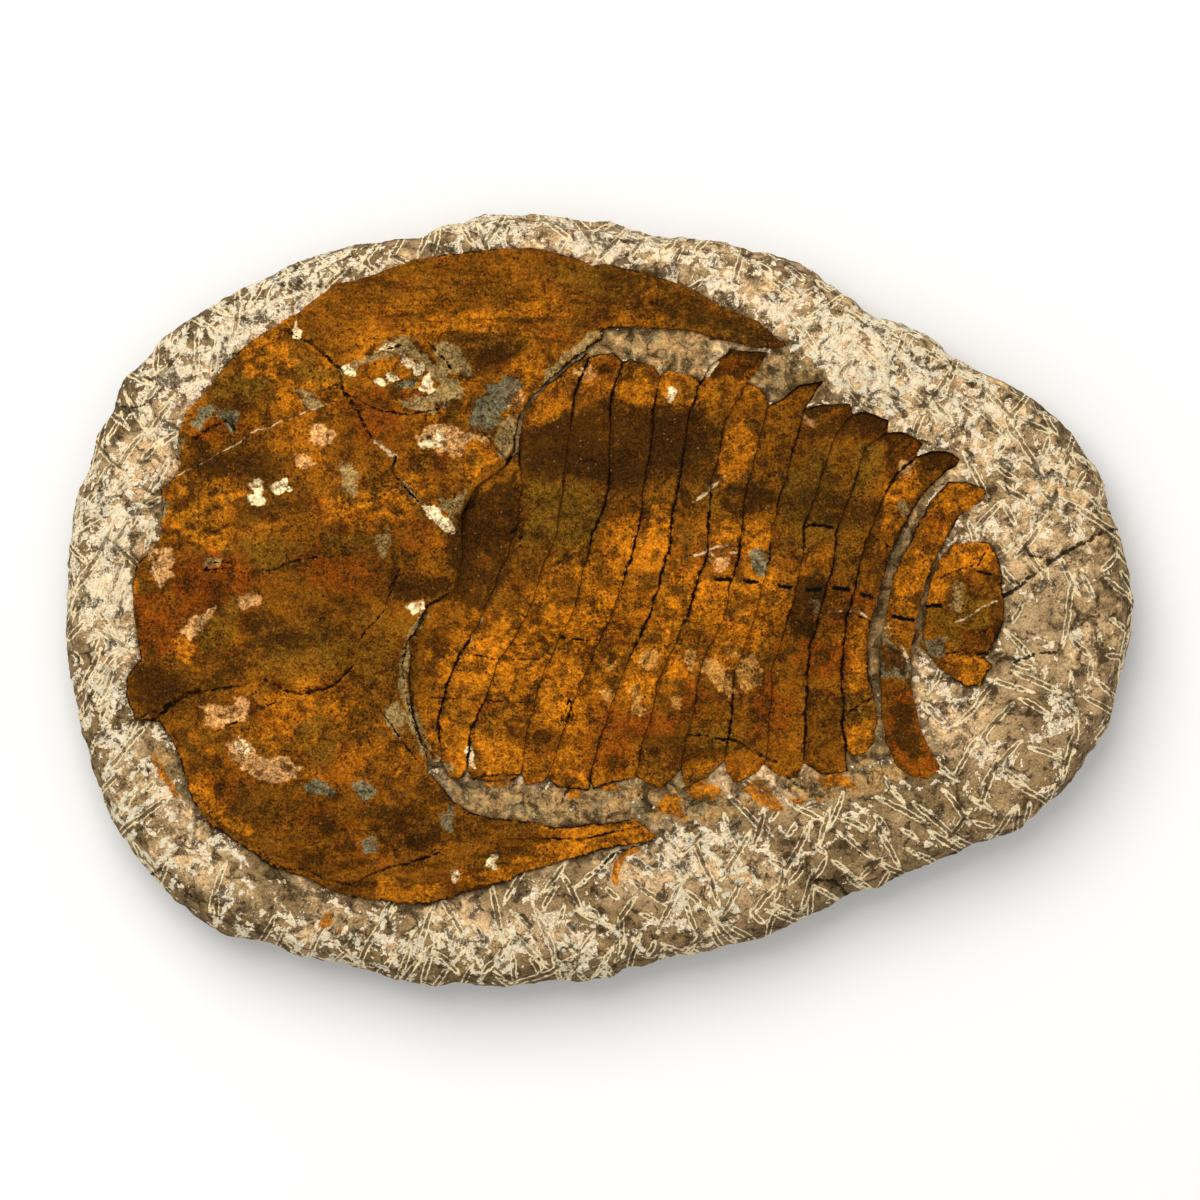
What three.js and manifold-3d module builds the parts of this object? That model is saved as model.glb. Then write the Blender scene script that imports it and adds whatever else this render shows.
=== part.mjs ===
// A large Cambropallas trilobite fossil lying face up in its hand-chiselled stone plate.
//
// Units are millimetres. +Z points up out of the fossil's face, +X runs from the head to the tail,
// and the origin is the middle of the plate's flat underside. Seen from above with +Y upwards, the
// object looks as it does in the photograph.
//
// Every outline is read by eye from the photograph, as points in its 1200 x 1200 pixel frame, and is
// turned into millimetres by one scale, which the plate's real length sets.
import * as THREE from "three";
import { mergeVertices } from "three/addons/utils/BufferGeometryUtils.js";
import Module from "manifold-3d";

const wasm = await Module();
wasm.setup();

// Driving dimensions
const PLATE_LENGTH = 300;
const UNDERSIDE_INSET = 9;
const EDGE_HEIGHT = 25.5;
const STONE_TOP = 29.5;
const BED_HEIGHT = 24;
const JOINT_GAP = 0.3;
const BORDER_HEIGHT = 31;
const HEAD_DOME = 4.2;
const GLABELLA_RISE = 4.2;
const AXIS_RISE = 4.4;
const TILE_STEP = 0.9;

// The photograph's frame
const PHOTO_PLATE_LENGTH = 1075;
const PHOTO_CENTRE = [599.5, 600.5];
const MM_PER_PIXEL = PLATE_LENGTH / PHOTO_PLATE_LENGTH;

// Mesh fineness
const SLAB_SPOKES = 102;
const HEAD_GRID = 6.3;
const SEAM_STATIONS = 13;

const { abs, cos, exp, floor, hypot, max, min, PI, pow, sin } = Math;

// The plate's rim, clockwise from the left end.
const PLATE_RIM = [
  [64, 610], [66, 570], [68, 520], [78, 492], [86, 465], [93, 440], [110, 417], [115, 394], [121, 379],
  [137, 361], [157, 340], [175, 325], [203, 307], [226, 294], [251, 281], [267, 274], [292, 261],
  [331, 248], [382, 239], [420, 234], [436, 224], [459, 220], [479, 219], [489, 213], [510, 211],
  [553, 213], [591, 218], [612, 219], [637, 228], [655, 232], [719, 238], [750, 248], [788, 256],
  [821, 273], [844, 292], [862, 304], [883, 317], [908, 322], [934, 338], [969, 363], [995, 376],
  [1026, 386], [1043, 404], [1069, 425], [1089, 455], [1102, 470], [1107, 493], [1120, 527],
  [1128, 551], [1133, 577], [1137, 602], [1135, 627], [1128, 656], [1125, 677], [1118, 690],
  [1120, 706], [1115, 724], [1100, 744], [1084, 767], [1076, 785], [1056, 803], [1038, 815],
  [1026, 829], [992, 841], [967, 851], [934, 863], [908, 877], [885, 888], [860, 893], [832, 907],
  [801, 922], [776, 936], [745, 944], [700, 956], [660, 962], [640, 968], [612, 981], [585, 984],
  [560, 983], [535, 985], [510, 990], [485, 988], [460, 986], [432, 989], [410, 986], [380, 977],
  [345, 966], [310, 962], [280, 955], [262, 943], [241, 941], [216, 935], [193, 917], [170, 900],
  [152, 892], [149, 871], [134, 856], [116, 838], [101, 805], [91, 780], [82, 746], [75, 708],
  [68, 678], [64, 640],
];

// The head's three pieces. The suture lines are shared by the pieces on either side.
const UPPER_SUTURE = [
  [282, 322], [300, 341], [320, 360], [343, 384], [357, 366], [375, 355], [397, 346], [420, 352],
  [437, 372], [443, 395], [458, 408], [476, 424], [490, 440], [499, 452], [506, 462],
];
const LOWER_SUTURE = [
  [136, 720], [168, 706], [186, 694], [215, 690], [240, 686], [267, 677], [285, 690], [305, 694],
  [330, 686], [348, 668], [366, 690], [388, 720], [408, 750], [428, 772],
];
const HEAD_FRONT = [
  [127, 693], [127, 676], [141, 660], [138, 639], [134, 614], [134, 588], [137, 563], [152, 551],
  [162, 539], [164, 506], [162, 491], [177, 476], [182, 463], [177, 445], [180, 430], [188, 412],
  [200, 399], [213, 384], [229, 363], [241, 350], [262, 335],
];
const UPPER_CHEEK_EDGE = [
  [515, 449], [515, 435], [520, 417], [529, 400], [546, 382], [573, 360], [588, 348], [600, 340],
  [604, 330], [622, 327], [655, 328], [688, 330], [710, 336], [744, 346], [767, 348], [788, 345],
  [767, 330], [757, 321], [734, 312], [716, 303], [688, 289], [665, 280], [645, 274], [622, 268],
  [604, 264], [592, 266], [576, 259], [563, 255], [543, 250], [515, 249], [497, 250], [451, 255],
  [415, 260], [389, 269], [356, 281], [336, 284], [320, 297], [300, 312],
];
const LOWER_CHEEK_EDGE = [
  [437, 781], [446, 792], [456, 803], [469, 813], [487, 818], [512, 820], [538, 823], [553, 828],
  [579, 826], [614, 823], [634, 820], [645, 828], [656, 836], [645, 841], [612, 848], [579, 856],
  [543, 866], [515, 876], [484, 889], [459, 894], [433, 903], [407, 903], [379, 900], [343, 894],
  [320, 884], [295, 874], [272, 866], [251, 851], [229, 836], [213, 826], [195, 805], [188, 785],
  [182, 764], [172, 738], [160, 722],
];
const TAIL_SHIELD = [
  [941, 558], [954, 545], [972, 542], [990, 545], [997, 558], [1001, 575], [1003, 598], [1001, 624],
  [995, 640], [987, 654], [981, 658], [992, 665], [987, 673], [980, 685], [967, 687], [954, 678],
  [939, 667], [928, 654], [921, 645], [924, 626], [927, 601], [932, 577],
];

// The thorax's seams, each from its upper end to its lower end. Seam i is the back edge of segment i
// and the front edge of segment i + 1, and seam 0 is the head's back edge.
const SEAMS = [
  [[506, 466], [485, 481], [464, 493], [457, 503], [463, 517], [466, 533], [463, 547], [464, 572],
   [464, 584], [448, 593], [428, 606], [417, 620], [410, 639], [408, 662], [410, 689], [413, 714],
   [418, 736], [424, 750]],
  [[578, 361], [546, 385], [530, 402], [522, 419], [517, 436], [519, 452], [523, 473], [521, 487],
   [518, 520], [511, 536], [508, 551], [506, 569], [497, 584], [489, 597], [485, 612], [476, 626],
   [460, 655], [446, 690], [439, 712], [437, 735], [442, 759]],
  [[588, 358], [584, 367], [578, 379], [574, 397], [569, 430], [565, 470], [560, 520], [556, 537],
   [544, 554], [541, 577], [535, 592], [529, 612], [521, 629], [511, 642], [499, 660], [487, 695],
   [479, 711], [470, 734], [466, 749], [467, 766]],
  [[622, 362], [612, 390], [609, 420], [610, 450], [609, 480], [605, 508], [593, 533], [584, 556],
   [581, 581], [576, 602], [571, 618], [561, 638], [550, 655], [541, 680], [530, 716], [521, 754],
   [522, 772]],
  [[659, 375], [654, 396], [654, 430], [651, 450], [645, 480], [642, 500], [641, 525], [635, 542],
   [628, 564], [624, 577], [622, 592], [616, 602], [610, 622], [604, 635], [598, 643], [588, 665],
   [580, 685], [572, 703], [563, 731], [553, 757], [548, 775]],
  [[702, 382], [692, 394], [689, 409], [687, 430], [684, 447], [680, 479], [673, 508], [672, 538],
   [664, 564], [656, 589], [650, 615], [646, 628], [637, 644], [624, 658], [622, 676], [607, 716],
   [597, 748], [591, 765], [590, 777]],
  [[742, 393], [731, 401], [727, 410], [724, 428], [722, 445], [713, 463], [710, 495], [707, 523],
   [708, 552], [700, 567], [697, 583], [691, 596], [687, 618], [681, 634], [674, 644], [668, 654],
   [663, 663], [656, 689], [649, 722], [641, 741], [636, 765], [636, 776]],
  [[768, 407], [762, 422], [758, 447], [753, 464], [747, 483], [741, 519], [741, 551], [733, 573],
   [727, 597], [723, 619], [715, 635], [707, 650], [700, 662], [697, 690], [688, 732], [684, 752],
   [680, 768]],
  [[803, 410], [797, 435], [791, 454], [787, 470], [781, 492], [772, 525], [770, 555], [762, 582],
   [758, 597], [755, 612], [752, 628], [747, 640], [741, 655], [735, 666], [732, 709], [728, 737],
   [723, 760]],
  [[853, 414], [842, 424], [835, 435], [829, 449], [823, 469], [818, 488], [811, 505], [804, 522],
   [805, 538], [802, 564], [797, 583], [791, 606], [787, 624], [783, 638], [771, 660], [771, 680],
   [770, 697], [768, 742], [765, 762]],
  [[887, 432], [872, 444], [861, 452], [857, 475], [850, 491], [846, 506], [836, 532], [833, 561],
   [829, 574], [824, 596], [820, 610], [815, 630], [809, 650], [806, 668], [806, 709], [805, 735],
   [804, 763]],
  [[914, 457], [902, 472], [889, 480], [883, 495], [876, 515], [871, 530], [865, 542], [860, 564],
   [854, 589], [849, 610], [843, 628], [842, 666], [842, 700], [842, 722], [843, 735], [845, 750]],
  [[945, 472], [932, 482], [922, 497], [912, 512], [903, 528], [893, 545], [887, 562], [881, 585],
   [872, 608], [868, 630], [866, 655], [870, 685], [874, 705], [878, 728], [875, 742]],
];

// The last segment stands a little apart from the one before, so it has both its edges to itself.
const LAST_SEGMENT_FRONT = [
  [976, 485], [960, 480], [944, 482], [935, 492], [927, 505], [920, 521], [914, 539], [904, 554],
  [896, 572], [890, 592], [885, 612], [880, 640], [879, 665], [881, 690], [882, 717], [884, 735],
  [888, 748], [897, 766],
];
const LAST_SEGMENT_BACK = [
  [981, 500], [966, 510], [955, 520], [945, 538], [938, 555], [928, 570], [923, 585], [919, 605],
  [914, 625], [911, 645], [910, 670], [912, 690], [914, 705], [919, 728], [932, 754], [940, 768],
];

// What each segment has beyond its seams' ends: rows of a front point and a back point, from the seam
// outwards, at its upper and its lower tip.
const SEGMENT_TIPS = [
  { upper: [[[514, 455], [518, 452]]], lower: [[[427, 757], [437, 763]]] },
  { upper: [[[584, 354], [589, 353]]], lower: [[[449, 777], [463, 777]]] },
  { upper: [[[594, 355], [614, 353]]], lower: [[[472, 780], [517, 777]]] },
  { upper: [[[629, 359], [653, 367]]], lower: [[[526, 785], [543, 780]]] },
  { upper: [[[667, 370], [694, 377]]], lower: [[[556, 787], [588, 790]]] },
  { upper: [[[710, 367], [755, 373]], [[729, 351], [768, 353]]], lower: [[[591, 788], [612, 781]]] },
  { upper: [[[748, 384], [764, 392]]], lower: [[[646, 782], [663, 788]]] },
  { upper: [[[781, 399], [812, 398]], [[797, 386], [824, 381]]], lower: [[[685, 786], [706, 777]]] },
  { upper: [[[820, 404], [850, 404]]], lower: [[[734, 783], [757, 773]]] },
  { upper: [[[867, 412], [889, 421]]], lower: [[[779, 778], [797, 775]]] },
  { upper: [[[899, 431], [924, 444]]], lower: [[[820, 773], [848, 771]]] },
  { upper: [[[932, 450], [955, 467]], [[952, 454], [961, 460]]], lower: [[[852, 756], [866, 753]]] },
  { upper: [[[984, 490], [986, 493]]], lower: [[[911, 777], [927, 778]]] },
];

// Rises and hollows of the surface: centre and radii in photograph pixels, turn in degrees
// anticlockwise, and height in millimetres.
const HEAD_SWELLINGS = [
  { name: "glabella", centre: [320, 540], radii: [125, 72], turn: 8, height: GLABELLA_RISE },
  { name: "frontal lobe", centre: [205, 512], radii: [48, 42], turn: 0, height: 1.7 },
  { name: "upper eye", centre: [393, 376], radii: [40, 20], turn: 5, height: 2.6 },
  { name: "lower eye", centre: [306, 668], radii: [42, 20], turn: 4, height: 2.6 },
  { name: "occipital lobe", centre: [440, 470], radii: [50, 26], turn: 30, height: 1.6 },
  { name: "lower cheek swelling", centre: [300, 765], radii: [70, 45], turn: -20, height: 1.2 },
  { name: "upper cheek swelling", centre: [430, 300], radii: [120, 22], turn: 6, height: 0.9 },
  { name: "front notch", centre: [165, 590], radii: [30, 45], turn: 0, height: -0.8 },
  { name: "hollow behind the upper eye", centre: [495, 400], radii: [22, 32], turn: -30, height: -1.4 },
];
const HEAD_FURROWS = [
  { name: "upper border furrow", width: 2.2, depth: 1.1, line: [[255, 372], [300, 340], [345, 322], [400, 312], [470, 305], [540, 312], [590, 325]] },
  { name: "lower border furrow", width: 2.2, depth: 1.1, line: [[205, 770], [235, 812], [285, 850], [345, 874], [400, 868], [450, 848], [540, 838]] },
  { name: "upper glabella furrow", width: 2.6, depth: 1.3, line: [[165, 492], [205, 468], [250, 442], [310, 420], [345, 400], [400, 460], [440, 500]] },
  { name: "lower glabella furrow", width: 2.6, depth: 1.2, line: [[150, 600], [200, 622], [262, 628], [330, 620], [380, 590], [430, 570]] },
];
const THORAX_SWELLINGS = [
  { name: "dark hollow", centre: [632, 432], radii: [88, 30], turn: 4, height: -1.5 },
  { name: "front shoulder", centre: [505, 690], radii: [40, 60], turn: 10, height: 1.0 },
  { name: "sunk first segment", centre: [490, 540], radii: [30, 50], turn: -12, height: -1.8 },
];
const STONE_SWELLINGS = [
  { name: "ledge above the tail half", centre: [850, 362], radii: [85, 34], turn: -24, height: 3.2 },
  { name: "ledge above the spine", centre: [690, 265], radii: [70, 18], turn: -16, height: 1.6 },
  { name: "worn corner", centre: [120, 850], radii: [60, 60], turn: 0, height: -1.6 },
  { name: "low tail end", centre: [1095, 640], radii: [60, 130], turn: 0, height: -1.4 },
  { name: "low left end", centre: [85, 560], radii: [35, 130], turn: 0, height: -1.2 },
];

// Photograph to millimetres

function place([px, py]) {
  return new THREE.Vector2((px - PHOTO_CENTRE[0]) * MM_PER_PIXEL, (PHOTO_CENTRE[1] - py) * MM_PER_PIXEL);
}

const placeAll = (points) => points.map(place);

// Height functions

function smooth(low, high, value) {
  const t = min(1, max(0, (value - low) / (high - low)));
  return t * t * (3 - 2 * t);
}

function hash(ix, iy, seed) {
  const s = sin(ix * 127.1 + iy * 311.7 + seed * 74.7) * 43758.5453;
  return s - floor(s);
}

// Smooth value noise from -1 to 1, with one feature for each unit of x and y.
function noise(x, y, seed) {
  const ix = floor(x);
  const iy = floor(y);
  const u = smooth(0, 1, x - ix);
  const v = smooth(0, 1, y - iy);
  const low = hash(ix, iy, seed) * (1 - u) + hash(ix + 1, iy, seed) * u;
  const high = hash(ix, iy + 1, seed) * (1 - u) + hash(ix + 1, iy + 1, seed) * u;
  return 2 * (low * (1 - v) + high * v) - 1;
}

function swellingsAt(swellings, p) {
  let z = 0;
  for (const s of swellings) {
    const d = p.clone().sub(place(s.centre)).rotateAround(new THREE.Vector2(), (-s.turn * PI) / 180);
    const r = hypot(d.x / (s.radii[0] * MM_PER_PIXEL), d.y / (s.radii[1] * MM_PER_PIXEL));
    z += s.height * exp(-r * r);
  }
  return z;
}

function distanceToLine(line, p) {
  let best = Infinity;
  for (let i = 1; i < line.length; i++) {
    const a = line[i - 1];
    const ab = line[i].clone().sub(a);
    const t = min(1, max(0, p.clone().sub(a).dot(ab) / ab.lengthSq()));
    best = min(best, p.distanceTo(a.clone().addScaledVector(ab, t)));
  }
  return best;
}

const HEAD_FURROW_LINES = HEAD_FURROWS.map((f) => ({ ...f, line: placeAll(f.line) }));

function furrowsAt(p) {
  let z = 0;
  for (const f of HEAD_FURROW_LINES) z -= f.depth * exp(-pow(distanceToLine(f.line, p) / f.width, 2));
  return z;
}

const HEAD_CENTRE = place([340, 580]);
const HEAD_RADII = [66, 92];

function headHeight(p) {
  const r = hypot((p.x - HEAD_CENTRE.x) / HEAD_RADII[0], (p.y - HEAD_CENTRE.y) / HEAD_RADII[1]);
  const dome = HEAD_DOME * (1 - smooth(0.1, 1.05, r));
  const grain = 0.25 * noise(p.x / 6, p.y / 6, 3);
  return BORDER_HEIGHT + dome + swellingsAt(HEAD_SWELLINGS, p) + furrowsAt(p) + grain;
}

const AXIS_FRONT = place([500, 577]);
const AXIS_BACK = place([935, 606]);
const AXIS_HALF_WIDTH = [17, 10];

// The thorax is a raised axis between two furrows, with side lobes that fall away to their tips.
function thoraxHeight(p) {
  const along = min(1.15, max(-0.1, (p.x - AXIS_FRONT.x) / (AXIS_BACK.x - AXIS_FRONT.x)));
  const middle = AXIS_FRONT.y + (AXIS_BACK.y - AXIS_FRONT.y) * along;
  const half = AXIS_HALF_WIDTH[0] + (AXIS_HALF_WIDTH[1] - AXIS_HALF_WIDTH[0]) * along;
  const across = abs(p.y - middle) / half;
  const axis = across < 1 ? AXIS_RISE * pow(cos((across * PI) / 2), 0.9) : 0;
  const furrow = -0.8 * exp(-pow((across - 1) / 0.2, 2));
  const lobe = across > 1 ? 1.3 * sin(min(1, (across - 1) / 1.1) * PI * 0.5) - 1.1 * pow(max(0, across - 1.5), 1.3) : 0;
  const fall = 1.4 * along;
  return BORDER_HEIGHT + 0.6 + axis + furrow + max(-2.2, lobe) - fall + swellingsAt(THORAX_SWELLINGS, p);
}

const TAIL_CENTRE = place([960, 605]);

function tailHeight(p) {
  const r = p.distanceTo(TAIL_CENTRE);
  return BORDER_HEIGHT - 1 + 2.2 * exp(-pow(r / 9, 2)) + 0.35 * sin((p.y - TAIL_CENTRE.y) * 0.9);
}

// The dressed stone around the fossil, with the coarse waves that chisel work leaves.
function stoneHeight(p) {
  const waves = 0.55 * noise(p.x / 13, p.y / 13, 1) + 0.35 * noise(p.x / 5.2, p.y / 5.2, 2);
  return STONE_TOP + waves + swellingsAt(STONE_SWELLINGS, p);
}

// Solids

// A closed mesh as a manifold-3d solid, turned the right way out.
function solidFrom(vertices, triangles) {
  const make = (list) =>
    new wasm.Manifold(
      new wasm.Mesh({
        numProp: 3,
        vertProperties: new Float32Array(vertices.flat()),
        triVerts: new Uint32Array(list.flat()),
      }),
    );
  const made = make(triangles);
  return made.volume() > 0 ? made : make(triangles.map(([a, b, c]) => [a, c, b]));
}

function solidFromGeometry(geometry) {
  const bare = new THREE.BufferGeometry().setAttribute("position", geometry.getAttribute("position"));
  if (geometry.index) bare.setIndex(geometry.index);
  const merged = mergeVertices(bare, 1e-4);
  return new wasm.Manifold(
    new wasm.Mesh({
      numProp: 3,
      vertProperties: merged.attributes.position.array,
      triVerts: new Uint32Array(merged.index.array),
    }),
  );
}

// Moves a closed outline outwards by a distance, or inwards when it is negative.
function offsetOutline(points, distance) {
  const turn = THREE.ShapeUtils.isClockWise(points) ? -1 : 1;
  return points.map((p, i) => {
    const before = points[(i + points.length - 1) % points.length];
    const after = points[(i + 1) % points.length];
    const normalOf = (a, b) => new THREE.Vector2(b.y - a.y, a.x - b.x).normalize().multiplyScalar(turn);
    const n1 = normalOf(before, p);
    const n2 = normalOf(p, after);
    const bisector = n1.clone().add(n2).normalize();
    return p.clone().addScaledVector(bisector, distance / max(0.5, bisector.dot(n1)));
  });
}

function prism(outline, low, high) {
  const geometry = new THREE.ExtrudeGeometry(new THREE.Shape(outline), { depth: high - low, bevelEnabled: false });
  geometry.translate(0, 0, low);
  return solidFromGeometry(geometry);
}

// A block whose top follows a height function on a square grid, and whose underside is flat.
function reliefBlock(outline, low, heightAt, step) {
  const xs = outline.map((p) => p.x);
  const ys = outline.map((p) => p.y);
  const x0 = min(...xs) - step;
  const y0 = min(...ys) - step;
  const nx = Math.ceil((max(...xs) + step - x0) / step);
  const ny = Math.ceil((max(...ys) + step - y0) / step);
  const vertices = [];
  const triangles = [];
  for (let j = 0; j <= ny; j++)
    for (let i = 0; i <= nx; i++) {
      const p = new THREE.Vector2(x0 + i * step, y0 + j * step);
      vertices.push([p.x, p.y, heightAt(p)]);
    }
  const index = (i, j) => j * (nx + 1) + i;
  for (let j = 0; j < ny; j++)
    for (let i = 0; i < nx; i++) {
      const [a, b, c, d] = [index(i, j), index(i + 1, j), index(i + 1, j + 1), index(i, j + 1)];
      if ((i + j) % 2) triangles.push([a, b, c], [a, c, d]);
      else triangles.push([a, b, d], [b, c, d]);
    }
  const rim = [];
  for (let i = 0; i < nx; i++) rim.push(index(i, 0));
  for (let j = 0; j < ny; j++) rim.push(index(nx, j));
  for (let i = nx; i > 0; i--) rim.push(index(i, ny));
  for (let j = ny; j > 0; j--) rim.push(index(0, j));
  const foot = vertices.length;
  for (const k of rim) vertices.push([vertices[k][0], vertices[k][1], low]);
  const middle = vertices.length;
  vertices.push([x0 + (nx * step) / 2, y0 + (ny * step) / 2, low]);
  rim.forEach((k, n) => {
    const m = (n + 1) % rim.length;
    triangles.push([k, foot + n, foot + m], [k, foot + m, rim[m]], [foot + n, middle, foot + m]);
  });
  return solidFrom(vertices, triangles);
}

// One piece of the shell with its rock filling: the outline's prism under a relief.
function shellPiece(outline, heightAt, step) {
  const inner = offsetOutline(outline, -JOINT_GAP / 2);
  const block = reliefBlock(inner, BED_HEIGHT + JOINT_GAP, heightAt, step);
  return prism(inner, BED_HEIGHT, BED_HEIGHT + 40).intersect(block);
}

// Points at even steps along an open line.
function stationsAlong(line, count) {
  const lengths = [0];
  for (let i = 1; i < line.length; i++) lengths.push(lengths[i - 1] + line[i].distanceTo(line[i - 1]));
  const total = lengths.at(-1);
  const stations = [];
  for (let k = 0, i = 1; k < count; k++) {
    const target = (total * k) / (count - 1);
    while (i < line.length - 1 && lengths[i] < target) i++;
    const t = (target - lengths[i - 1]) / (lengths[i] - lengths[i - 1]);
    stations.push(line[i - 1].clone().lerp(line[i], min(1, t)));
  }
  return stations;
}

// How a segment's top rises from its front edge to its back edge, as on a row of roof tiles.
const SEGMENT_PROFILE = [
  { at: 0, rise: -0.75 },
  { at: 0.16, rise: -0.1 * TILE_STEP },
  { at: 0.5, rise: 0.25 },
  { at: 0.84, rise: 0.5 * TILE_STEP },
  { at: 1, rise: -0.35 },
];

// A thorax segment: a ribbon between its front edge and its back edge, tips included.
function segmentSolid(rows) {
  const vertices = [];
  const triangles = [];
  const across = SEGMENT_PROFILE.length;
  for (const [front, back] of rows) {
    const inset = JOINT_GAP * 0.75;
    const run = back.clone().sub(front);
    const side = run.clone().normalize().multiplyScalar(min(inset, run.length() * 0.2));
    const a = front.clone().add(side);
    const b = back.clone().sub(side);
    for (const { at, rise } of SEGMENT_PROFILE) {
      const p = a.clone().lerp(b, at);
      vertices.push([p.x, p.y, thoraxHeight(p) + rise]);
    }
    vertices.push([a.x, a.y, BED_HEIGHT + JOINT_GAP], [b.x, b.y, BED_HEIGHT + JOINT_GAP]);
  }
  const stride = across + 2;
  for (let r = 1; r < rows.length; r++) {
    const near = (r - 1) * stride;
    const far = r * stride;
    for (let c = 1; c < across; c++)
      triangles.push([near + c - 1, near + c, far + c], [near + c - 1, far + c, far + c - 1]);
    const frontFoot = across;
    const backFoot = across + 1;
    triangles.push([near, far, far + frontFoot], [near, far + frontFoot, near + frontFoot]);
    triangles.push([near + across - 1, near + backFoot, far + backFoot], [near + across - 1, far + backFoot, far + across - 1]);
    triangles.push([near + frontFoot, far + frontFoot, far + backFoot], [near + frontFoot, far + backFoot, near + backFoot]);
  }
  const closeEnd = (start, flip) => {
    const fan = [];
    for (let c = 1; c < across; c++) fan.push([start + across, start + c, start + c - 1]);
    fan.push([start + across, start + across + 1, start + across - 1]);
    triangles.push(...(flip ? fan.map(([a, b, c]) => [a, c, b]) : fan));
  };
  closeEnd(0, false);
  closeEnd((rows.length - 1) * stride, true);
  return solidFrom(vertices, triangles);
}

// The first segment starts halfway between the fourth and the fifth station of its back seam, because
// the head's spine covers the rest.
const seams = SEAMS.map((seam) => stationsAlong(placeAll(seam), SEAM_STATIONS));
const firstBack = [seams[1][3].clone().lerp(seams[1][4], 0.5), ...seams[1].slice(4)];
const firstFront = stationsAlong(placeAll(SEAMS[0]), firstBack.length);

// Rows of front and back points for each of the thirteen segments, from upper tip to lower tip.
function segmentRows() {
  const lastFront = stationsAlong(placeAll(LAST_SEGMENT_FRONT), SEAM_STATIONS);
  const lastBack = stationsAlong(placeAll(LAST_SEGMENT_BACK), SEAM_STATIONS);
  return SEGMENT_TIPS.map((tips, i) => {
    let front = seams[i];
    let back = seams[i + 1];
    if (i === 0) [front, back] = [firstFront, firstBack];
    if (i === SEGMENT_TIPS.length - 1) [front, back] = [lastFront, lastBack];
    const body = front.map((p, k) => [p, back[k]]);
    const upper = tips.upper.map(placeAll).reverse();
    return [...upper, ...body, ...tips.lower.map(placeAll)];
  });
}

const outlineOfRows = (rows) => [...rows.map(([front]) => front), ...rows.map(([, back]) => back).reverse()];

// The plate's rim as a distance from its middle, by angle.
function rimRadii(count) {
  const rim = placeAll(PLATE_RIM).map((p) => new THREE.Vector3(p.x, p.y, 0));
  const curve = new THREE.CatmullRomCurve3(rim, true, "centripetal").getPoints(1600);
  const radii = new Array(count).fill(0);
  for (let k = 1; k < curve.length; k++) {
    const [a, b] = [curve[k - 1], curve[k]];
    for (let s = 0; s < count; s++) {
      const angle = (s / count) * 2 * PI;
      const [dx, dy] = [cos(angle), sin(angle)];
      const sideA = a.x * dy - a.y * dx;
      const sideB = b.x * dy - b.y * dx;
      if (sideA * sideB > 0) continue;
      const t = sideA / (sideA - sideB);
      const reach = (a.x + (b.x - a.x) * t) * dx + (a.y + (b.y - a.y) * t) * dy;
      radii[s] = max(radii[s], reach);
    }
  }
  return radii;
}

// The plate before the fossil's bed is cut: rings of points from the flat underside, up the broken
// sides, over the chipped edge and across the dressed top to the middle.
function plateSolid() {
  const radii = rimRadii(SLAB_SPOKES);
  const sides = [
    { inset: UNDERSIDE_INSET, height: 0, rough: 0 },
    { inset: 5.2, height: 3.2, rough: 0.9 },
    { inset: 1.8, height: 9.5, rough: 1.1 },
    { inset: 0, height: 16.5, rough: 0 },
    { inset: 1.6, height: 22, rough: 0.7 },
    { inset: 3.4, height: EDGE_HEIGHT, rough: 0.8 },
  ];
  const topInsets = [7, 12.5, 19, 27, 36];
  const innerShare = 0.45;
  const vertices = [];
  const triangles = [];
  const addRing = (pointAt) => {
    const ring = [];
    for (let s = 0; s < SLAB_SPOKES; s++) {
      ring.push(vertices.length);
      vertices.push(pointAt(s, (s / SLAB_SPOKES) * 2 * PI));
    }
    return ring;
  };
  const rings = [];
  for (const { inset, height, rough } of sides)
    rings.push(
      addRing((s, angle) => {
        const dent = rough * (0.6 * noise(s * 0.35, height, 4) + 0.4 * noise(s * 0.9, height, 5));
        const r = radii[s] - inset - rough + dent;
        const lift = height ? 0.9 * rough * noise(s * 0.5, height, 6) : 0;
        return [r * cos(angle), r * sin(angle), height + lift];
      }),
    );
  for (const inset of topInsets)
    rings.push(
      addRing((s, angle) => {
        const r = radii[s] - inset + 0.7 * noise(s * 0.8, inset, 7);
        const p = new THREE.Vector2(r * cos(angle), r * sin(angle));
        const slope = (STONE_TOP - EDGE_HEIGHT - 1) * (1 - smooth(3, 17, inset));
        return [p.x, p.y, stoneHeight(p) - slope];
      }),
    );
  rings.push(
    addRing((s, angle) => {
      const r = radii[s] * innerShare;
      const p = new THREE.Vector2(r * cos(angle), r * sin(angle));
      return [p.x, p.y, stoneHeight(p)];
    }),
  );
  rings.forEach((ring, k) => {
    if (!k) return;
    ring.forEach((v, s) => {
      const t = (s + 1) % SLAB_SPOKES;
      const below = rings[k - 1];
      if ((s + k) % 2) triangles.push([below[s], below[t], ring[t]], [below[s], ring[t], v]);
      else triangles.push([below[s], below[t], v], [below[t], ring[t], v]);
    });
  });
  const bottomMiddle = vertices.length;
  vertices.push([0, 0, 0], [0, 0, STONE_TOP]);
  for (let s = 0; s < SLAB_SPOKES; s++) {
    const t = (s + 1) % SLAB_SPOKES;
    triangles.push([bottomMiddle, rings[0][t], rings[0][s]]);
    triangles.push([bottomMiddle + 1, rings.at(-1)[s], rings.at(-1)[t]]);
  }
  return solidFrom(vertices, triangles);
}

// The object

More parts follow.
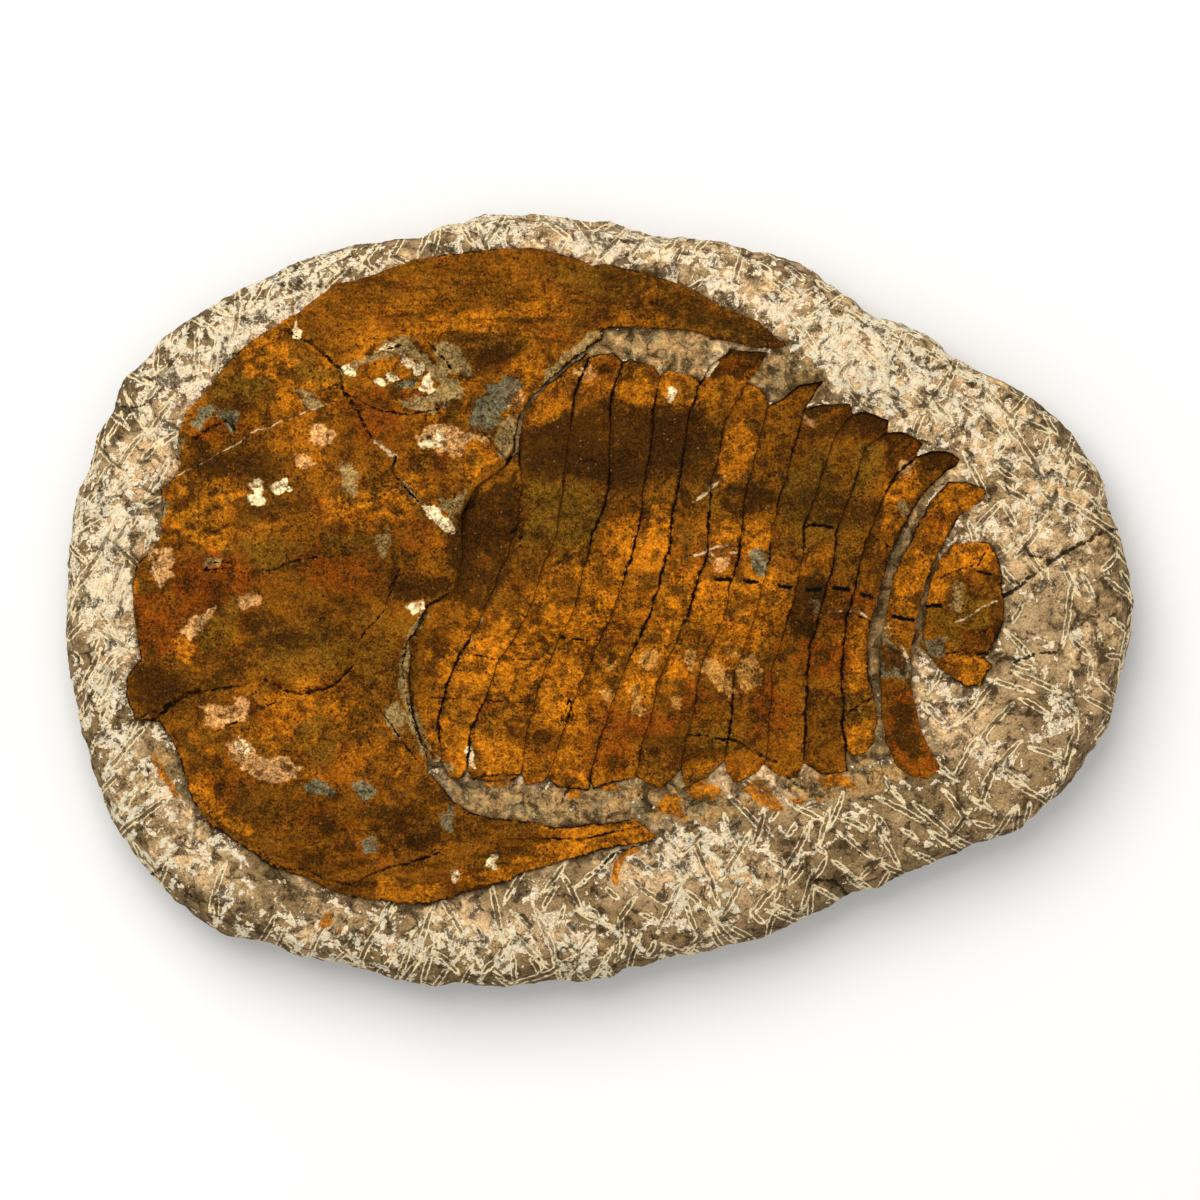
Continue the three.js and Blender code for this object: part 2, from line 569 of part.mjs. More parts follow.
function meshOf(name, solid, material) {
  const { numProp, numVert, vertProperties, triVerts } = solid.getMesh();
  const positions = new Float32Array(numVert * 3);
  for (let i = 0; i < numVert; i++) positions.set(vertProperties.subarray(i * numProp, i * numProp + 3), i * 3);
  const geometry = new THREE.BufferGeometry()
    .setAttribute("position", new THREE.BufferAttribute(positions, 3))
    .setIndex(new THREE.BufferAttribute(triVerts, 1));
  geometry.computeVertexNormals();
  const mesh = new THREE.Mesh(geometry, material);
  mesh.name = name;
  return mesh;
}

const stone = new THREE.MeshStandardMaterial({ color: 0x9a8566, roughness: 0.95, metalness: 0 });
const shell = new THREE.MeshStandardMaterial({ color: 0x8a5212, roughness: 0.62, metalness: 0 });
const shellDark = new THREE.MeshStandardMaterial({ color: 0x6b4110, roughness: 0.62, metalness: 0 });

const frontToSuture = placeAll([...[...LOWER_SUTURE].reverse(), ...HEAD_FRONT]);
const cranidium = [...placeAll(UPPER_SUTURE), ...firstFront, ...frontToSuture];
const upperCheek = placeAll([...UPPER_SUTURE, ...UPPER_CHEEK_EDGE]);
const lowerCheek = placeAll([...LOWER_SUTURE, ...LOWER_CHEEK_EDGE]);
const tail = placeAll(TAIL_SHIELD);
const segments = segmentRows();

const outlines = [cranidium, upperCheek, lowerCheek, tail, ...segments.map(outlineOfRows)];
const beds = outlines.map((outline) => prism(offsetOutline(outline, JOINT_GAP), BED_HEIGHT, BED_HEIGHT + 40));
const plate = beds.reduce((left, bed) => left.subtract(bed), plateSolid());

const fossil = new THREE.Group();
fossil.add(meshOf("stone_matrix", plate, stone));
fossil.add(meshOf("cranidium", shellPiece(cranidium, headHeight, HEAD_GRID), shell));
fossil.add(meshOf("right_free_cheek", shellPiece(upperCheek, headHeight, HEAD_GRID), shellDark));
fossil.add(meshOf("left_free_cheek", shellPiece(lowerCheek, headHeight, HEAD_GRID), shellDark));
segments.forEach((rows, i) => {
  const name = "thorax_segment_" + String(i + 1).padStart(2, "0");
  fossil.add(meshOf(name, segmentSolid(rows), i % 2 ? shell : shellDark));
});
fossil.add(meshOf("tail_shield", shellPiece(tail, tailHeight, HEAD_GRID / 2), shell));

export default fossil;
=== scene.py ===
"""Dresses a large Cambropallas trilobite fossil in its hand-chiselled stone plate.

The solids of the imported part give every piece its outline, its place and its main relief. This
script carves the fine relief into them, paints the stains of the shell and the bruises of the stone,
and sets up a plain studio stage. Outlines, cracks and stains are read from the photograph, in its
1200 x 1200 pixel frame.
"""

import math

import bpy
import numpy as np
from bpy.props import FloatProperty, FloatVectorProperty, IntProperty, PointerProperty
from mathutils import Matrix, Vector
from mathutils.bvhtree import BVHTree
from mathutils.geometry import tessellate_polygon


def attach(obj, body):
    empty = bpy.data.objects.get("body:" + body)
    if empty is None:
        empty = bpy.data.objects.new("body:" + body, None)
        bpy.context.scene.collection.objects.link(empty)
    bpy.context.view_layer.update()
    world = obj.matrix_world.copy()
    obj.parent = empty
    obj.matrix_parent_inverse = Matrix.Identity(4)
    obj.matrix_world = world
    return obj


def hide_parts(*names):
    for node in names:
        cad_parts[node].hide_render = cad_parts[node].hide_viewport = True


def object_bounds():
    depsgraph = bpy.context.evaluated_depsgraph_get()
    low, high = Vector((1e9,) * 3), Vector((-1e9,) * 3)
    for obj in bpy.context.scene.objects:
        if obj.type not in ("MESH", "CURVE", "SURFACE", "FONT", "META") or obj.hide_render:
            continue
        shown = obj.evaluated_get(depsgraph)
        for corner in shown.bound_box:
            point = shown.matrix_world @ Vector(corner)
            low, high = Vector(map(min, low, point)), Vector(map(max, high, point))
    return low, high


bl_info = {
    "name": "Trilobite Fossil Plate",
    "version": (1, 0, 0),
    "blender": (4, 5, 0),
    "location": "View3D > Sidebar > Fossil",
    "description": "Fine relief, stains and stage for a trilobite fossil in a chiselled plate",
    "category": "Object",
}

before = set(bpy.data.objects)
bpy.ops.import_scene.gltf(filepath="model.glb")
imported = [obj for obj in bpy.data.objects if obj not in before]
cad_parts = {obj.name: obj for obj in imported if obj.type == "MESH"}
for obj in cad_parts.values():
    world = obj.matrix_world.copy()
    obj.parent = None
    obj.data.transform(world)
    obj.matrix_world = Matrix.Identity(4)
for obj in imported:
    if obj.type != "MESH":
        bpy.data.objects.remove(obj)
CAD_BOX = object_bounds()

# The photograph's frame, and the scale that the plate's real length sets
PHOTO_WIDTH = 1200
PHOTO_CENTRE = (599.5, 600.5)
MM_PER_PIXEL = 300 / 1075
MM = 0.001

# Where one thin layer of the shell ends and the next begins
FLAKE_LEVELS = (-0.16, 0.14)

# Heights in the solids
BED_HEIGHT = 24.0
PIECE_FOOT = 24.3
RIM_HEIGHT = 25.0

# The stage, in metres: how far the floor goes and how little it lies under the plate, the key light
# and its place, the camera's sensor in millimetres, and the level whose scale the photo's frame has
FLOOR_REACH = 4.0
FLOOR_GAP = 0.0002
KEY_WIDTH = 1.2
KEY_COLOUR = (1.0, 0.985, 0.955)
KEY_PLACE = (-0.35, 0.65, 1.25)
SENSOR_WIDTH = 36.0
FACE_HEIGHT = 0.028

HEAD_NODES = ("cranidium", "right_free_cheek", "left_free_cheek")
SEGMENT_NODES = tuple(f"thorax_segment_{i:02d}" for i in range(1, 14))
TAIL_NODES = ("tail_shield",)
PLATE_NODE = "stone_matrix"

PIECE_NAMES = {
    "cranidium": "cranidium_shell",
    "right_free_cheek": "right_cheek_shell",
    "left_free_cheek": "left_cheek_shell",
    "tail_shield": "tail_shield_shell",
}

# Broad stains of the shell by pigment: centre x and y, radii, turn in degrees, strength
SHELL_STAINS = {
    "brown": [
        (320, 600, 120, 60, 0, 0.8), (400, 650, 60, 60, 0, 0.6), (300, 832, 130, 40, 10, 0.9),
        (440, 842, 90, 30, 0, 0.9), (390, 884, 120, 16, 0, 0.8), (640, 295, 100, 34, -14, 1.0),
        (730, 330, 60, 22, -22, 1.0), (850, 470, 100, 66, -22, 0.75), (760, 470, 60, 70, 0, 0.5),
        (640, 480, 100, 44, 0, 0.6), (540, 520, 64, 70, 0, 0.9), (850, 640, 70, 70, 0, 0.6),
        (800, 715, 80, 50, 0, 0.6), (700, 720, 70, 26, 0, 0.6), (230, 430, 60, 44, 0, 0.3),
        (280, 470, 70, 36, 0, 0.3), (370, 430, 50, 50, 0, 0.4), (490, 285, 130, 22, -5, 0.55),
        (330, 306, 34, 44, -40, 0.5), (972, 612, 40, 44, 0, 1.0), (890, 690, 34, 60, 0, 0.6),
        (440, 600, 40, 40, 0, 0.6), (620, 450, 110, 40, 0, 1.0), (190, 680, 60, 34, 0, 0.8),
    ],
    "bright": [
        (475, 322, 66, 10, 12, 0.8), (522, 372, 22, 16, 20, 1.0), (640, 392, 44, 16, 0, 0.6),
        (470, 665, 34, 24, 0, 0.7), (520, 640, 24, 22, 0, 0.6), (560, 600, 20, 44, -25, 0.7),
        (600, 600, 16, 44, -25, 0.6), (690, 600, 40, 30, 0, 0.3), (760, 600, 20, 40, 0, 0.5),
        (860, 640, 16, 30, 0, 0.5), (530, 862, 60, 12, 14, 0.8), (400, 896, 60, 8, 0, 0.7),
        (650, 660, 60, 26, 0, 0.2), (208, 506, 36, 36, 0, 0.7), (560, 690, 30, 40, 0, 0.5),
        (500, 760, 34, 18, 0, 0.6), (300, 400, 36, 14, 20, 0.5), (390, 500, 40, 24, 30, 0.4),
        (860, 740, 16, 20, 0, 0.5),
    ],
    "red": [
        (214, 580, 50, 32, 10, 0.7), (335, 570, 50, 24, 0, 0.6), (370, 420, 28, 22, -30, 0.6),
        (835, 655, 34, 20, 0, 0.7), (340, 835, 50, 14, -20, 0.5), (610, 735, 30, 34, 10, 0.6),
        (690, 700, 20, 30, 0, 0.5), (770, 710, 20, 30, 0, 0.6), (900, 440, 44, 16, -15, 0.6),
        (230, 790, 30, 30, -40, 0.5), (350, 770, 40, 20, 0, 0.4), (420, 540, 30, 20, 0, 0.5),
        (840, 600, 26, 20, 0, 0.5), (700, 560, 30, 20, 0, 0.3), (470, 880, 40, 14, 0, 0.4),
    ],
    "olive": [
        (260, 552, 44, 16, 0, 0.8), (350, 545, 30, 12, 0, 0.6), (240, 385, 40, 14, 30, 0.8),
        (320, 375, 30, 12, -20, 0.6), (560, 510, 36, 40, 0, 0.9), (650, 300, 80, 18, -16, 0.8),
        (725, 328, 44, 12, -20, 0.9), (700, 440, 26, 30, 0, 0.6), (810, 500, 30, 50, -15, 0.7),
        (960, 612, 30, 26, 0, 0.8), (300, 655, 60, 26, 0, 0.7), (410, 700, 12, 44, 0, 0.5),
        (250, 800, 34, 20, -30, 0.5), (440, 470, 20, 10, 0, 0.4), (850, 540, 20, 22, 0, 0.6),
        (380, 650, 26, 40, 0, 0.4), (480, 345, 40, 12, 0, 0.4), (720, 490, 50, 20, 0, 0.4),
    ],
    "black": [
        (500, 350, 26, 9, 20, 0.8), (440, 630, 10, 20, 0, 0.4), (270, 512, 34, 12, 0, 0.5),
        (235, 655, 34, 14, 0, 0.5), (455, 828, 40, 12, 0, 0.6), (845, 508, 50, 14, -10, 0.5),
        (640, 508, 60, 10, 0, 0.2), (565, 590, 14, 14, 0, 0.5), (605, 580, 10, 14, 0, 0.5),
        # On the next line, (840, 430) is a painted shadow that the higher stone casts onto the ends of the
        # upper pleurae.
        (720, 742, 50, 8, 10, 0.6), (840, 430, 40, 14, 0, 0.6), (700, 320, 90, 9, -17, 0.5),
        (390, 815, 40, 8, 0, 0.5), (330, 862, 40, 8, 0, 0.5), (975, 625, 26, 16, 0, 0.4),
        (540, 740, 30, 14, 0, 0.4), (660, 735, 30, 14, 0, 0.4), (160, 620, 20, 30, 0, 0.4),
        (284, 640, 34, 12, 0, 0.6), (256, 622, 22, 14, 0, 0.4), (420, 592, 42, 12, 0, 0.7),
        # On the next line, (458, 560) is a painted shadow at the step down from the head's edge to the
        # thorax.
        (162, 690, 30, 22, 0, 0.5), (458, 560, 10, 34, 0, 0.8), (235, 466, 40, 12, -10, 0.7),
        (350, 600, 20, 10, 0, 0.4), (430, 525, 20, 20, 0, 0.3), (570, 400, 14, 24, 0, 0.5),
        # On the next line, (622, 446) is painted shade in the hollow of the upper thorax, over darker
        # shell.
        (622, 446, 92, 34, 0, 0.9), (390, 890, 130, 12, 0, 0.45),
    ],
}

# How soft each broad stain is at its edge, as a share of its radius
STAIN_SOFTNESS = {"brown": 1.1, "bright": 0.9, "red": 0.9, "olive": 0.9, "black": 0.8}

# Where the shell's texture runs in streaks
STREAK_ZONES = [(450, 300, 190, 46, -4, 1.0), (420, 860, 230, 34, 4, 1.0), (680, 310, 90, 30, -18, 0.8)]

# Patches of the shell in the order they lie: pigment, strength, softness in millimetres, outline
SHELL_PATCHES = [
    # The upper eye and the patches behind it
    ("grey", 1.0, 0.5, [(352, 370), (366, 357), (380, 350), (392, 341), (404, 338), (420, 345), (434, 356),
        (447, 369), (458, 380), (463, 391), (454, 404), (438, 412), (420, 414), (404, 410), (398, 401),
        (414, 397), (432, 393), (440, 384), (432, 370), (416, 361), (400, 356), (384, 360), (370, 366),
        (358, 374)]),
    ("bright", 0.8, 0.5, [(362, 376), (380, 366), (396, 362), (410, 367), (413, 373), (400, 377),
        (384, 378), (370, 383)]),
    ("red", 0.9, 0.5, [(383, 388), (398, 388), (420, 391), (427, 395), (412, 401), (392, 399)]),
    ("slate", 1.0, 0.4, [(390, 386), (402, 379), (414, 374), (421, 375), (420, 384), (412, 390),
        (400, 389)]),
    ("cream", 0.95, 0.3, [(398, 355), (405, 354), (413, 361), (423, 366), (427, 373), (416, 373),
        (407, 366), (400, 361)]),
    ("cream", 0.9, 0.3, [(424, 372), (431, 371), (437, 380), (436, 388), (429, 392), (422, 386),
        (421, 378)]),
    ("cream", 0.85, 0.3, [(376, 383), (384, 377), (402, 375), (400, 380), (387, 382), (381, 387)]),
    ("cream", 0.7, 0.3, [(380, 352), (396, 343), (404, 350), (396, 350), (384, 355)]),
    ("cream", 0.8, 0.3, [(340, 368), (352, 366), (362, 374), (358, 380), (348, 376), (342, 373)]),
    ("black", 0.9, 0.4, [(412, 343), (424, 347), (434, 358), (439, 367), (430, 360), (419, 351)]),
    ("black", 0.9, 0.4, [(364, 356), (372, 347), (383, 346), (378, 353), (370, 357)]),
    ("black", 0.8, 0.5, [(450, 398), (458, 396), (458, 410), (450, 412)]),
    ("grey", 0.9, 0.8, [(430, 343), (448, 343), (462, 352), (474, 366), (466, 377), (452, 374), (440, 364),
        (434, 354)]),
    ("slate", 1.0, 0.5, [(482, 382), (500, 376), (516, 378), (521, 386), (511, 396), (505, 410), (499, 424),
        (490, 434), (480, 430), (468, 426), (469, 412), (475, 400), (481, 392)]),
    ("pink", 0.8, 0.8, [(508, 396), (520, 391), (527, 398), (515, 408), (508, 412)]),
    ("grey", 0.95, 0.3, [(494, 437), (504, 420), (516, 408), (530, 392), (548, 370), (566, 352), (582, 340),
        (598, 332), (604, 334), (580, 354), (560, 370), (540, 390), (522, 408), (516, 422), (518, 434),
        (512, 450), (504, 463), (498, 448)]),
    ("pink", 1.0, 0.6, [(416, 449), (418, 436), (430, 426), (446, 426), (462, 432), (478, 432), (491, 436),
        (486, 442), (472, 438), (464, 448), (460, 458), (448, 453), (436, 453), (424, 452)]),
    ("cream", 0.6, 0.8, [(416, 449), (423, 437), (438, 432), (445, 443), (435, 450), (424, 452)]),
    ("bright", 1.0, 0.4, [(463, 446), (472, 439), (486, 446), (502, 460), (490, 467), (474, 477),
        (458, 481), (462, 464)]),
    ("olive", 0.9, 0.6, [(468, 452), (480, 452), (488, 460), (478, 468), (466, 464)]),
    ("red", 0.8, 0.8, [(432, 458), (448, 458), (446, 480), (434, 476)]),
    ("cream", 1.0, 0.25, [(421, 503), (436, 502), (448, 516), (460, 533), (456, 538), (447, 534),
        (443, 526), (436, 521), (426, 510)]),
    ("grey", 0.9, 0.4, [(436, 498), (450, 494), (462, 490), (463, 506), (457, 523), (447, 511),
        (440, 503)]),
    # The upper left of the head
    ("cream", 0.9, 0.3, [(284, 334), (293, 325), (302, 333), (299, 342), (290, 344)]),
    ("bright", 0.7, 0.8, [(238, 368), (248, 350), (264, 338), (280, 338), (286, 352), (300, 362),
        (284, 378), (262, 381), (244, 380)]),
    ("black", 0.8, 1.0, [(212, 402), (236, 392), (250, 400), (240, 412), (222, 412)]),
    ("red", 0.9, 0.4, [(202, 424), (216, 416), (230, 424), (226, 438), (208, 444), (190, 440)]),
    ("slate", 1.0, 0.3, [(192, 424), (196, 410), (206, 404), (222, 405), (236, 411), (237, 426), (231, 430),
        (227, 418), (214, 412), (204, 416), (200, 430)]),
    ("black", 0.9, 0.4, [(188, 436), (204, 440), (216, 446), (206, 452), (192, 448)]),
    ("slate", 0.9, 0.4, [(164, 446), (176, 436), (184, 440), (182, 454), (170, 464)]),
    ("black", 0.5, 1.0, [(180, 470), (204, 456), (236, 450), (246, 464), (222, 480), (194, 484)]),
    ("grey", 0.9, 0.5, [(298, 394), (314, 393), (322, 406), (311, 414), (301, 406)]),
    ("pink", 0.8, 0.4, [(309, 431), (319, 424), (331, 431), (330, 443), (319, 447), (310, 441)]),
    ("pink", 0.8, 0.4, [(295, 452), (309, 450), (318, 464), (308, 472), (298, 462)]),
    ("cream", 0.9, 0.4, [(248, 483), (260, 478), (268, 487), (266, 503), (254, 506), (246, 498),
        (257, 492)]),
    ("cream", 0.7, 0.4, [(272, 482), (284, 481), (287, 491), (276, 493)]),
    ("grey", 0.7, 0.6, [(341, 462), (353, 461), (356, 478), (352, 496), (343, 492), (339, 474)]),
    ("olive", 0.5, 0.8, [(176, 514), (184, 490), (202, 478), (222, 480), (234, 492), (232, 510), (214, 528),
        (198, 538), (182, 534)]),
    ("pink", 1.0, 0.4, [(147, 553), (168, 548), (178, 560), (173, 578), (162, 590), (154, 574)]),
    ("slate", 0.8, 0.6, [(148, 510), (164, 504), (168, 518), (161, 536), (149, 540)]),
    ("grey", 0.8, 0.5, [(376, 534), (390, 530), (392, 548), (382, 560), (374, 550)]),
    # The middle and lower left of the head
    ("red", 1.0, 0.4, [(131, 598), (144, 586), (160, 592), (178, 604), (182, 626), (176, 650), (160, 657),
        (144, 650), (135, 626)]),
    ("red", 0.9, 0.8, [(178, 592), (190, 570), (206, 558), (230, 558), (252, 562), (262, 572), (250, 586),
        (226, 596), (200, 606), (184, 604)]),
    ("bright", 0.9, 0.5, [(178, 638), (196, 636), (200, 650), (192, 660), (178, 656)]),
    ("pink", 0.9, 0.5, [(184, 628), (196, 613), (217, 605), (213, 618), (202, 634), (192, 640)]),
    ("olive", 1.0, 0.4, [(199, 651), (205, 632), (215, 612), (232, 598), (243, 599), (240, 620), (234, 640),
        (220, 654), (206, 657)]),
    ("grey", 0.6, 0.4, [(202, 560), (224, 559), (220, 568), (206, 570)]),
    ("pink", 0.9, 0.5, [(241, 596), (258, 590), (268, 596), (262, 606), (246, 612)]),
    ("black", 0.8, 0.8, [(243, 613), (262, 611), (268, 622), (258, 634), (246, 628)]),
    ("black", 0.95, 0.5, [(261, 637), (280, 634), (300, 632), (300, 641), (282, 647), (264, 647)]),
    ("black", 0.7, 1.2, [(136, 668), (154, 664), (176, 668), (187, 682), (172, 700), (158, 712), (139, 712),
        (145, 690)]),
    ("black", 0.8, 1.0, [(212, 668), (236, 664), (236, 680), (216, 682)]),
    ("pink", 0.6, 0.8, [(202, 703), (226, 700), (252, 705), (246, 716), (222, 727), (206, 722)]),
    ("pink", 1.0, 0.5, [(222, 744), (238, 735), (254, 747), (263, 757), (290, 756), (302, 768), (296, 778),
        (272, 780), (252, 776), (238, 762)]),
    ("cream", 0.7, 0.5, [(228, 742), (240, 738), (250, 748), (246, 758), (234, 752)]),
    ("olive", 0.8, 0.6, [(299, 722), (316, 711), (334, 716), (344, 736), (336, 756), (320, 764), (304, 756),
        (297, 738)]),
    ("slate", 1.0, 0.4, [(301, 784), (318, 781), (336, 788), (328, 797), (306, 795)]),
    ("slate", 0.9, 0.4, [(352, 778), (366, 780), (375, 788), (364, 800), (354, 791)]),
    ("grey", 0.8, 0.6, [(384, 706), (398, 699), (405, 716), (397, 737), (386, 722)]),
    ("black", 0.85, 0.8, [(392, 598), (404, 586), (428, 580), (452, 581), (440, 594), (416, 600),
        (400, 607)]),
    # Painted shadow where the head's edge stands above the thorax.
    ("black", 1.0, 0.5, [(450, 532), (463, 538), (464, 580), (454, 582), (457, 560)]),
    ("cream", 0.7, 0.4, [(404, 606), (420, 599), (425, 612), (410, 617)]),
    # The lower cheek and its spine
    ("black", 0.9, 1.6, [(316, 824), (332, 820), (350, 834), (356, 850), (340, 852), (322, 838)]),
    ("black", 0.9, 1.6, [(372, 826), (400, 820), (430, 828), (446, 840), (430, 850), (400, 856),
        (378, 848)]),
    ("black", 0.8, 0.8, [(372, 802), (392, 804), (410, 812), (404, 818), (384, 814)]),
    ("slate", 0.8, 0.4, [(364, 840), (376, 836), (384, 844), (380, 856), (366, 854)]),
    ("bright", 0.9, 0.7, [(188, 782), (206, 780), (216, 798), (238, 816), (254, 836), (244, 838),
        (216, 820), (194, 800)]),
    ("black", 0.9, 0.6, [(212, 780), (222, 782), (224, 796), (216, 798)]),
    ("bright", 0.9, 0.6, [(376, 874), (420, 882), (440, 884), (430, 902), (400, 904), (378, 896)]),
    ("bright", 0.9, 0.6, [(470, 876), (510, 858), (560, 848), (620, 840), (650, 836), (600, 852),
        (540, 866), (500, 880), (474, 886)]),
    ("bright", 0.8, 0.6, [(540, 832), (600, 826), (640, 822), (650, 830), (600, 836), (544, 840)]),
    ("slate", 0.8, 0.5, [(438, 812), (452, 806), (456, 820), (448, 830), (440, 824)]),
    ("cream", 0.7, 0.4, [(488, 850), (498, 852), (494, 866), (486, 864)]),
    ("cream", 0.6, 0.4, [(450, 872), (460, 868), (466, 876), (456, 882)]),
    ("grey", 0.9, 0.4, [(420, 612), (428, 616), (413, 640), (409, 668), (413, 700), (422, 730), (438, 752),
        (454, 774), (440, 778), (424, 758), (410, 730), (403, 700), (400, 666), (404, 640)]),
    # Dark brown along the upper cheek's spine, with painted shadow where the stone's ledge stands above it.
    ("black", 0.6, 1.4, [(588, 262), (640, 274), (700, 295), (750, 318), (786, 342), (740, 340), (690, 324),
        (640, 320), (600, 324), (575, 337), (562, 340), (582, 318), (601, 296), (594, 280)]),
    # The thorax above its axis
    # Painted shade in the hollow of the upper thorax and under the head's edge, over darker shell, in the
    # next two patches.
    ("black", 1.0, 3.4, [(522, 436), (545, 418), (580, 424), (620, 410), (660, 402), (700, 410), (716, 432),
        (705, 443), (688, 451), (678, 465), (640, 469), (600, 473), (565, 475), (540, 476), (526, 462)]),
    ("black", 1.0, 2.4, [(458, 502), (490, 482), (522, 468), (528, 500), (514, 540), (507, 572), (490, 604),
        (470, 612), (453, 602), (462, 580), (456, 545)]),
    ("olive", 0.9, 1.0, [(566, 502), (600, 498), (604, 520), (596, 540), (566, 544), (562, 520)]),
    ("red", 0.8, 0.8, [(598, 358), (618, 352), (622, 366), (606, 376)]),
    ("black", 0.8, 0.6, [(598, 364), (610, 362), (612, 370), (602, 376)]),
    ("pink", 0.6, 0.8, [(578, 372), (592, 362), (598, 376), (588, 384)]),
    ("black", 1.0, 0.8, [(704, 350), (716, 338), (740, 342), (776, 350), (770, 358), (744, 378), (712, 380),
        (706, 372), (716, 358)]),
    ("red", 0.7, 1.0, [(718, 362), (750, 356), (742, 374), (720, 378)]),
    ("cream", 0.9, 0.3, [(704, 378), (710, 364), (719, 358), (714, 370), (708, 380)]),
    ("cream", 0.8, 0.5, [(664, 402), (668, 392), (674, 384), (677, 392), (671, 402)]),
    ("black", 0.9, 1.2, [(722, 484), (760, 482), (778, 494), (776, 514), (740, 518), (722, 506)]),
    ("black", 0.8, 0.8, [(674, 490), (684, 480), (690, 500), (680, 510)]),
    ("bright", 0.9, 1.0, [(722, 440), (744, 424), (756, 448), (738, 480), (722, 486), (716, 460)]),
    ("bright", 0.9, 0.8, [(536, 390), (560, 374), (576, 380), (572, 410), (544, 426), (530, 420)]),
    ("bright", 0.8, 0.6, [(648, 504), (672, 506), (670, 560), (652, 566), (640, 560)]),
    ("bright", 0.8, 0.6, [(606, 520), (638, 508), (632, 560), (606, 580)]),
    ("bright", 0.8, 0.6, [(708, 520), (734, 522), (740, 540), (722, 548), (710, 540)]),
    ("bright", 0.8, 0.6, [(744, 524), (768, 524), (770, 560), (748, 548)]),
    ("slate", 0.9, 0.5, [(750, 552), (760, 548), (768, 560), (764, 572), (752, 566)]),
    ("pink", 0.6, 0.6, [(708, 560), (724, 556), (732, 566), (722, 574), (712, 570)]),
    # Painted shadow that the higher stone casts onto the ends of the upper pleurae, in the next three
    # patches.
    ("black", 1.0, 0.8, [(804, 402), (836, 396), (864, 404), (858, 414), (832, 414), (806, 418)]),
    ("black", 0.95, 0.8, [(846, 414), (880, 412), (892, 420), (884, 430), (850, 426)]),
    ("black", 0.95, 0.8, [(884, 432), (900, 426), (928, 432), (928, 446), (900, 444), (886, 448)]),
    ("pink", 0.6, 0.6, [(804, 412), (816, 416), (812, 424), (802, 422)]),
    ("olive", 1.0, 0.8, [(858, 446), (884, 440), (882, 470), (866, 490), (852, 500), (848, 486)]),
    ("black", 0.8, 0.8, [(882, 452), (898, 450), (896, 474), (884, 478)]),
    ("pink", 0.7, 0.5, [(900, 460), (914, 462), (908, 474), (898, 476)]),
    ("black", 0.95, 0.6, [(916, 454), (934, 446), (960, 452), (954, 466), (926, 476), (918, 466)]),
    ("bright", 0.9, 0.6, [(884, 486), (914, 470), (922, 484), (904, 510), (892, 540), (878, 530)]),
    ("grey", 0.8, 0.4, [(896, 506), (906, 502), (908, 516), (898, 520)]),
    ("bright", 1.0, 0.6, [(938, 490), (958, 482), (984, 490), (976, 504), (950, 524), (936, 548),
        (922, 570), (908, 574), (906, 560), (922, 530), (932, 506)]),
    ("red", 0.9, 1.0, [(924, 520), (938, 504), (946, 510), (940, 536), (928, 558), (910, 566), (918, 544)]),
    # The thorax along and below its axis
    ("bright", 0.9, 0.5, [(893, 578), (918, 576), (916, 602), (898, 606)]),
    ("black", 1.0, 0.6, [(798, 576), (828, 575), (830, 598), (822, 620), (814, 636), (790, 636),
        (788, 616)]),
    ("slate", 0.7, 0.5, [(810, 598), (821, 598), (823, 618), (812, 620)]),
    ("red", 0.9, 0.8, [(800, 640), (836, 640), (842, 660), (826, 676), (806, 676)]),
    ("black", 0.7, 1.0, [(806, 648), (832, 646), (830, 662), (810, 666)]),
    ("slate", 1.0, 0.6, [(872, 640), (888, 634), (900, 650), (910, 662), (908, 680), (884, 680),
        (874, 664)]),
    ("black", 0.85, 1.2, [(878, 646), (892, 644), (904, 660), (902, 676), (886, 674)]),
    ("red", 0.9, 0.8, [(884, 692), (908, 690), (922, 730), (944, 772), (912, 778), (892, 740)]),
    ("black", 0.8, 0.9, [(890, 706), (910, 704), (916, 730), (930, 756), (912, 758), (898, 736)]),
    ("bright", 0.9, 0.6, [(846, 664), (872, 668), (874, 694), (850, 696)]),
    ("olive", 0.8, 0.7, [(846, 696), (872, 696), (874, 722), (850, 724)]),
    ("bright", 1.0, 0.4, [(498, 661), (540, 662), (534, 698), (492, 696)]),
    ("bright", 1.0, 0.8, [(478, 742), (520, 738), (518, 772), (478, 774)]),
    ("cream", 0.95, 0.3, [(466, 748), (470, 738), (473, 752), (477, 772), (472, 775)]),
    ("red", 0.9, 1.0, [(600, 704), (650, 716), (690, 712), (690, 734), (650, 736), (606, 730)]),
    ("red", 0.9, 1.0, [(604, 740), (634, 742), (630, 776), (604, 770)]),
    ("black", 0.8, 0.8, [(612, 758), (621, 756), (621, 772), (614, 774)]),
    ("black", 0.8, 0.8, [(505, 722), (516, 726), (513, 740), (504, 738)]),
    ("black", 0.8, 0.8, [(534, 732), (546, 730), (549, 744), (538, 748)]),
    ("olive", 0.9, 1.0, [(690, 722), (736, 724), (736, 742), (700, 746)]),
    ("red", 0.8, 1.0, [(750, 680), (776, 676), (780, 720), (756, 726)]),
    ("black", 0.7, 0.8, [(748, 708), (760, 708), (760, 722), (750, 722)]),
    ("spot", 1.0, 0.4, [(636, 660), (640, 650), (652, 648), (660, 656), (656, 668), (644, 670)]),
    ("spot", 1.0, 0.4, [(682, 654), (690, 648), (700, 652), (700, 666), (690, 674), (684, 664)]),
    ("spot", 1.0, 0.4, [(700, 664), (716, 660), (732, 676), (734, 694), (722, 696), (712, 680),
        (702, 674)]),
    ("spot", 1.0, 0.4, [(736, 664), (752, 658), (764, 672), (758, 688), (744, 692), (736, 680)]),
    ("spot", 1.0, 0.3, [(632, 688), (640, 683), (647, 691), (641, 698), (634, 697)]),
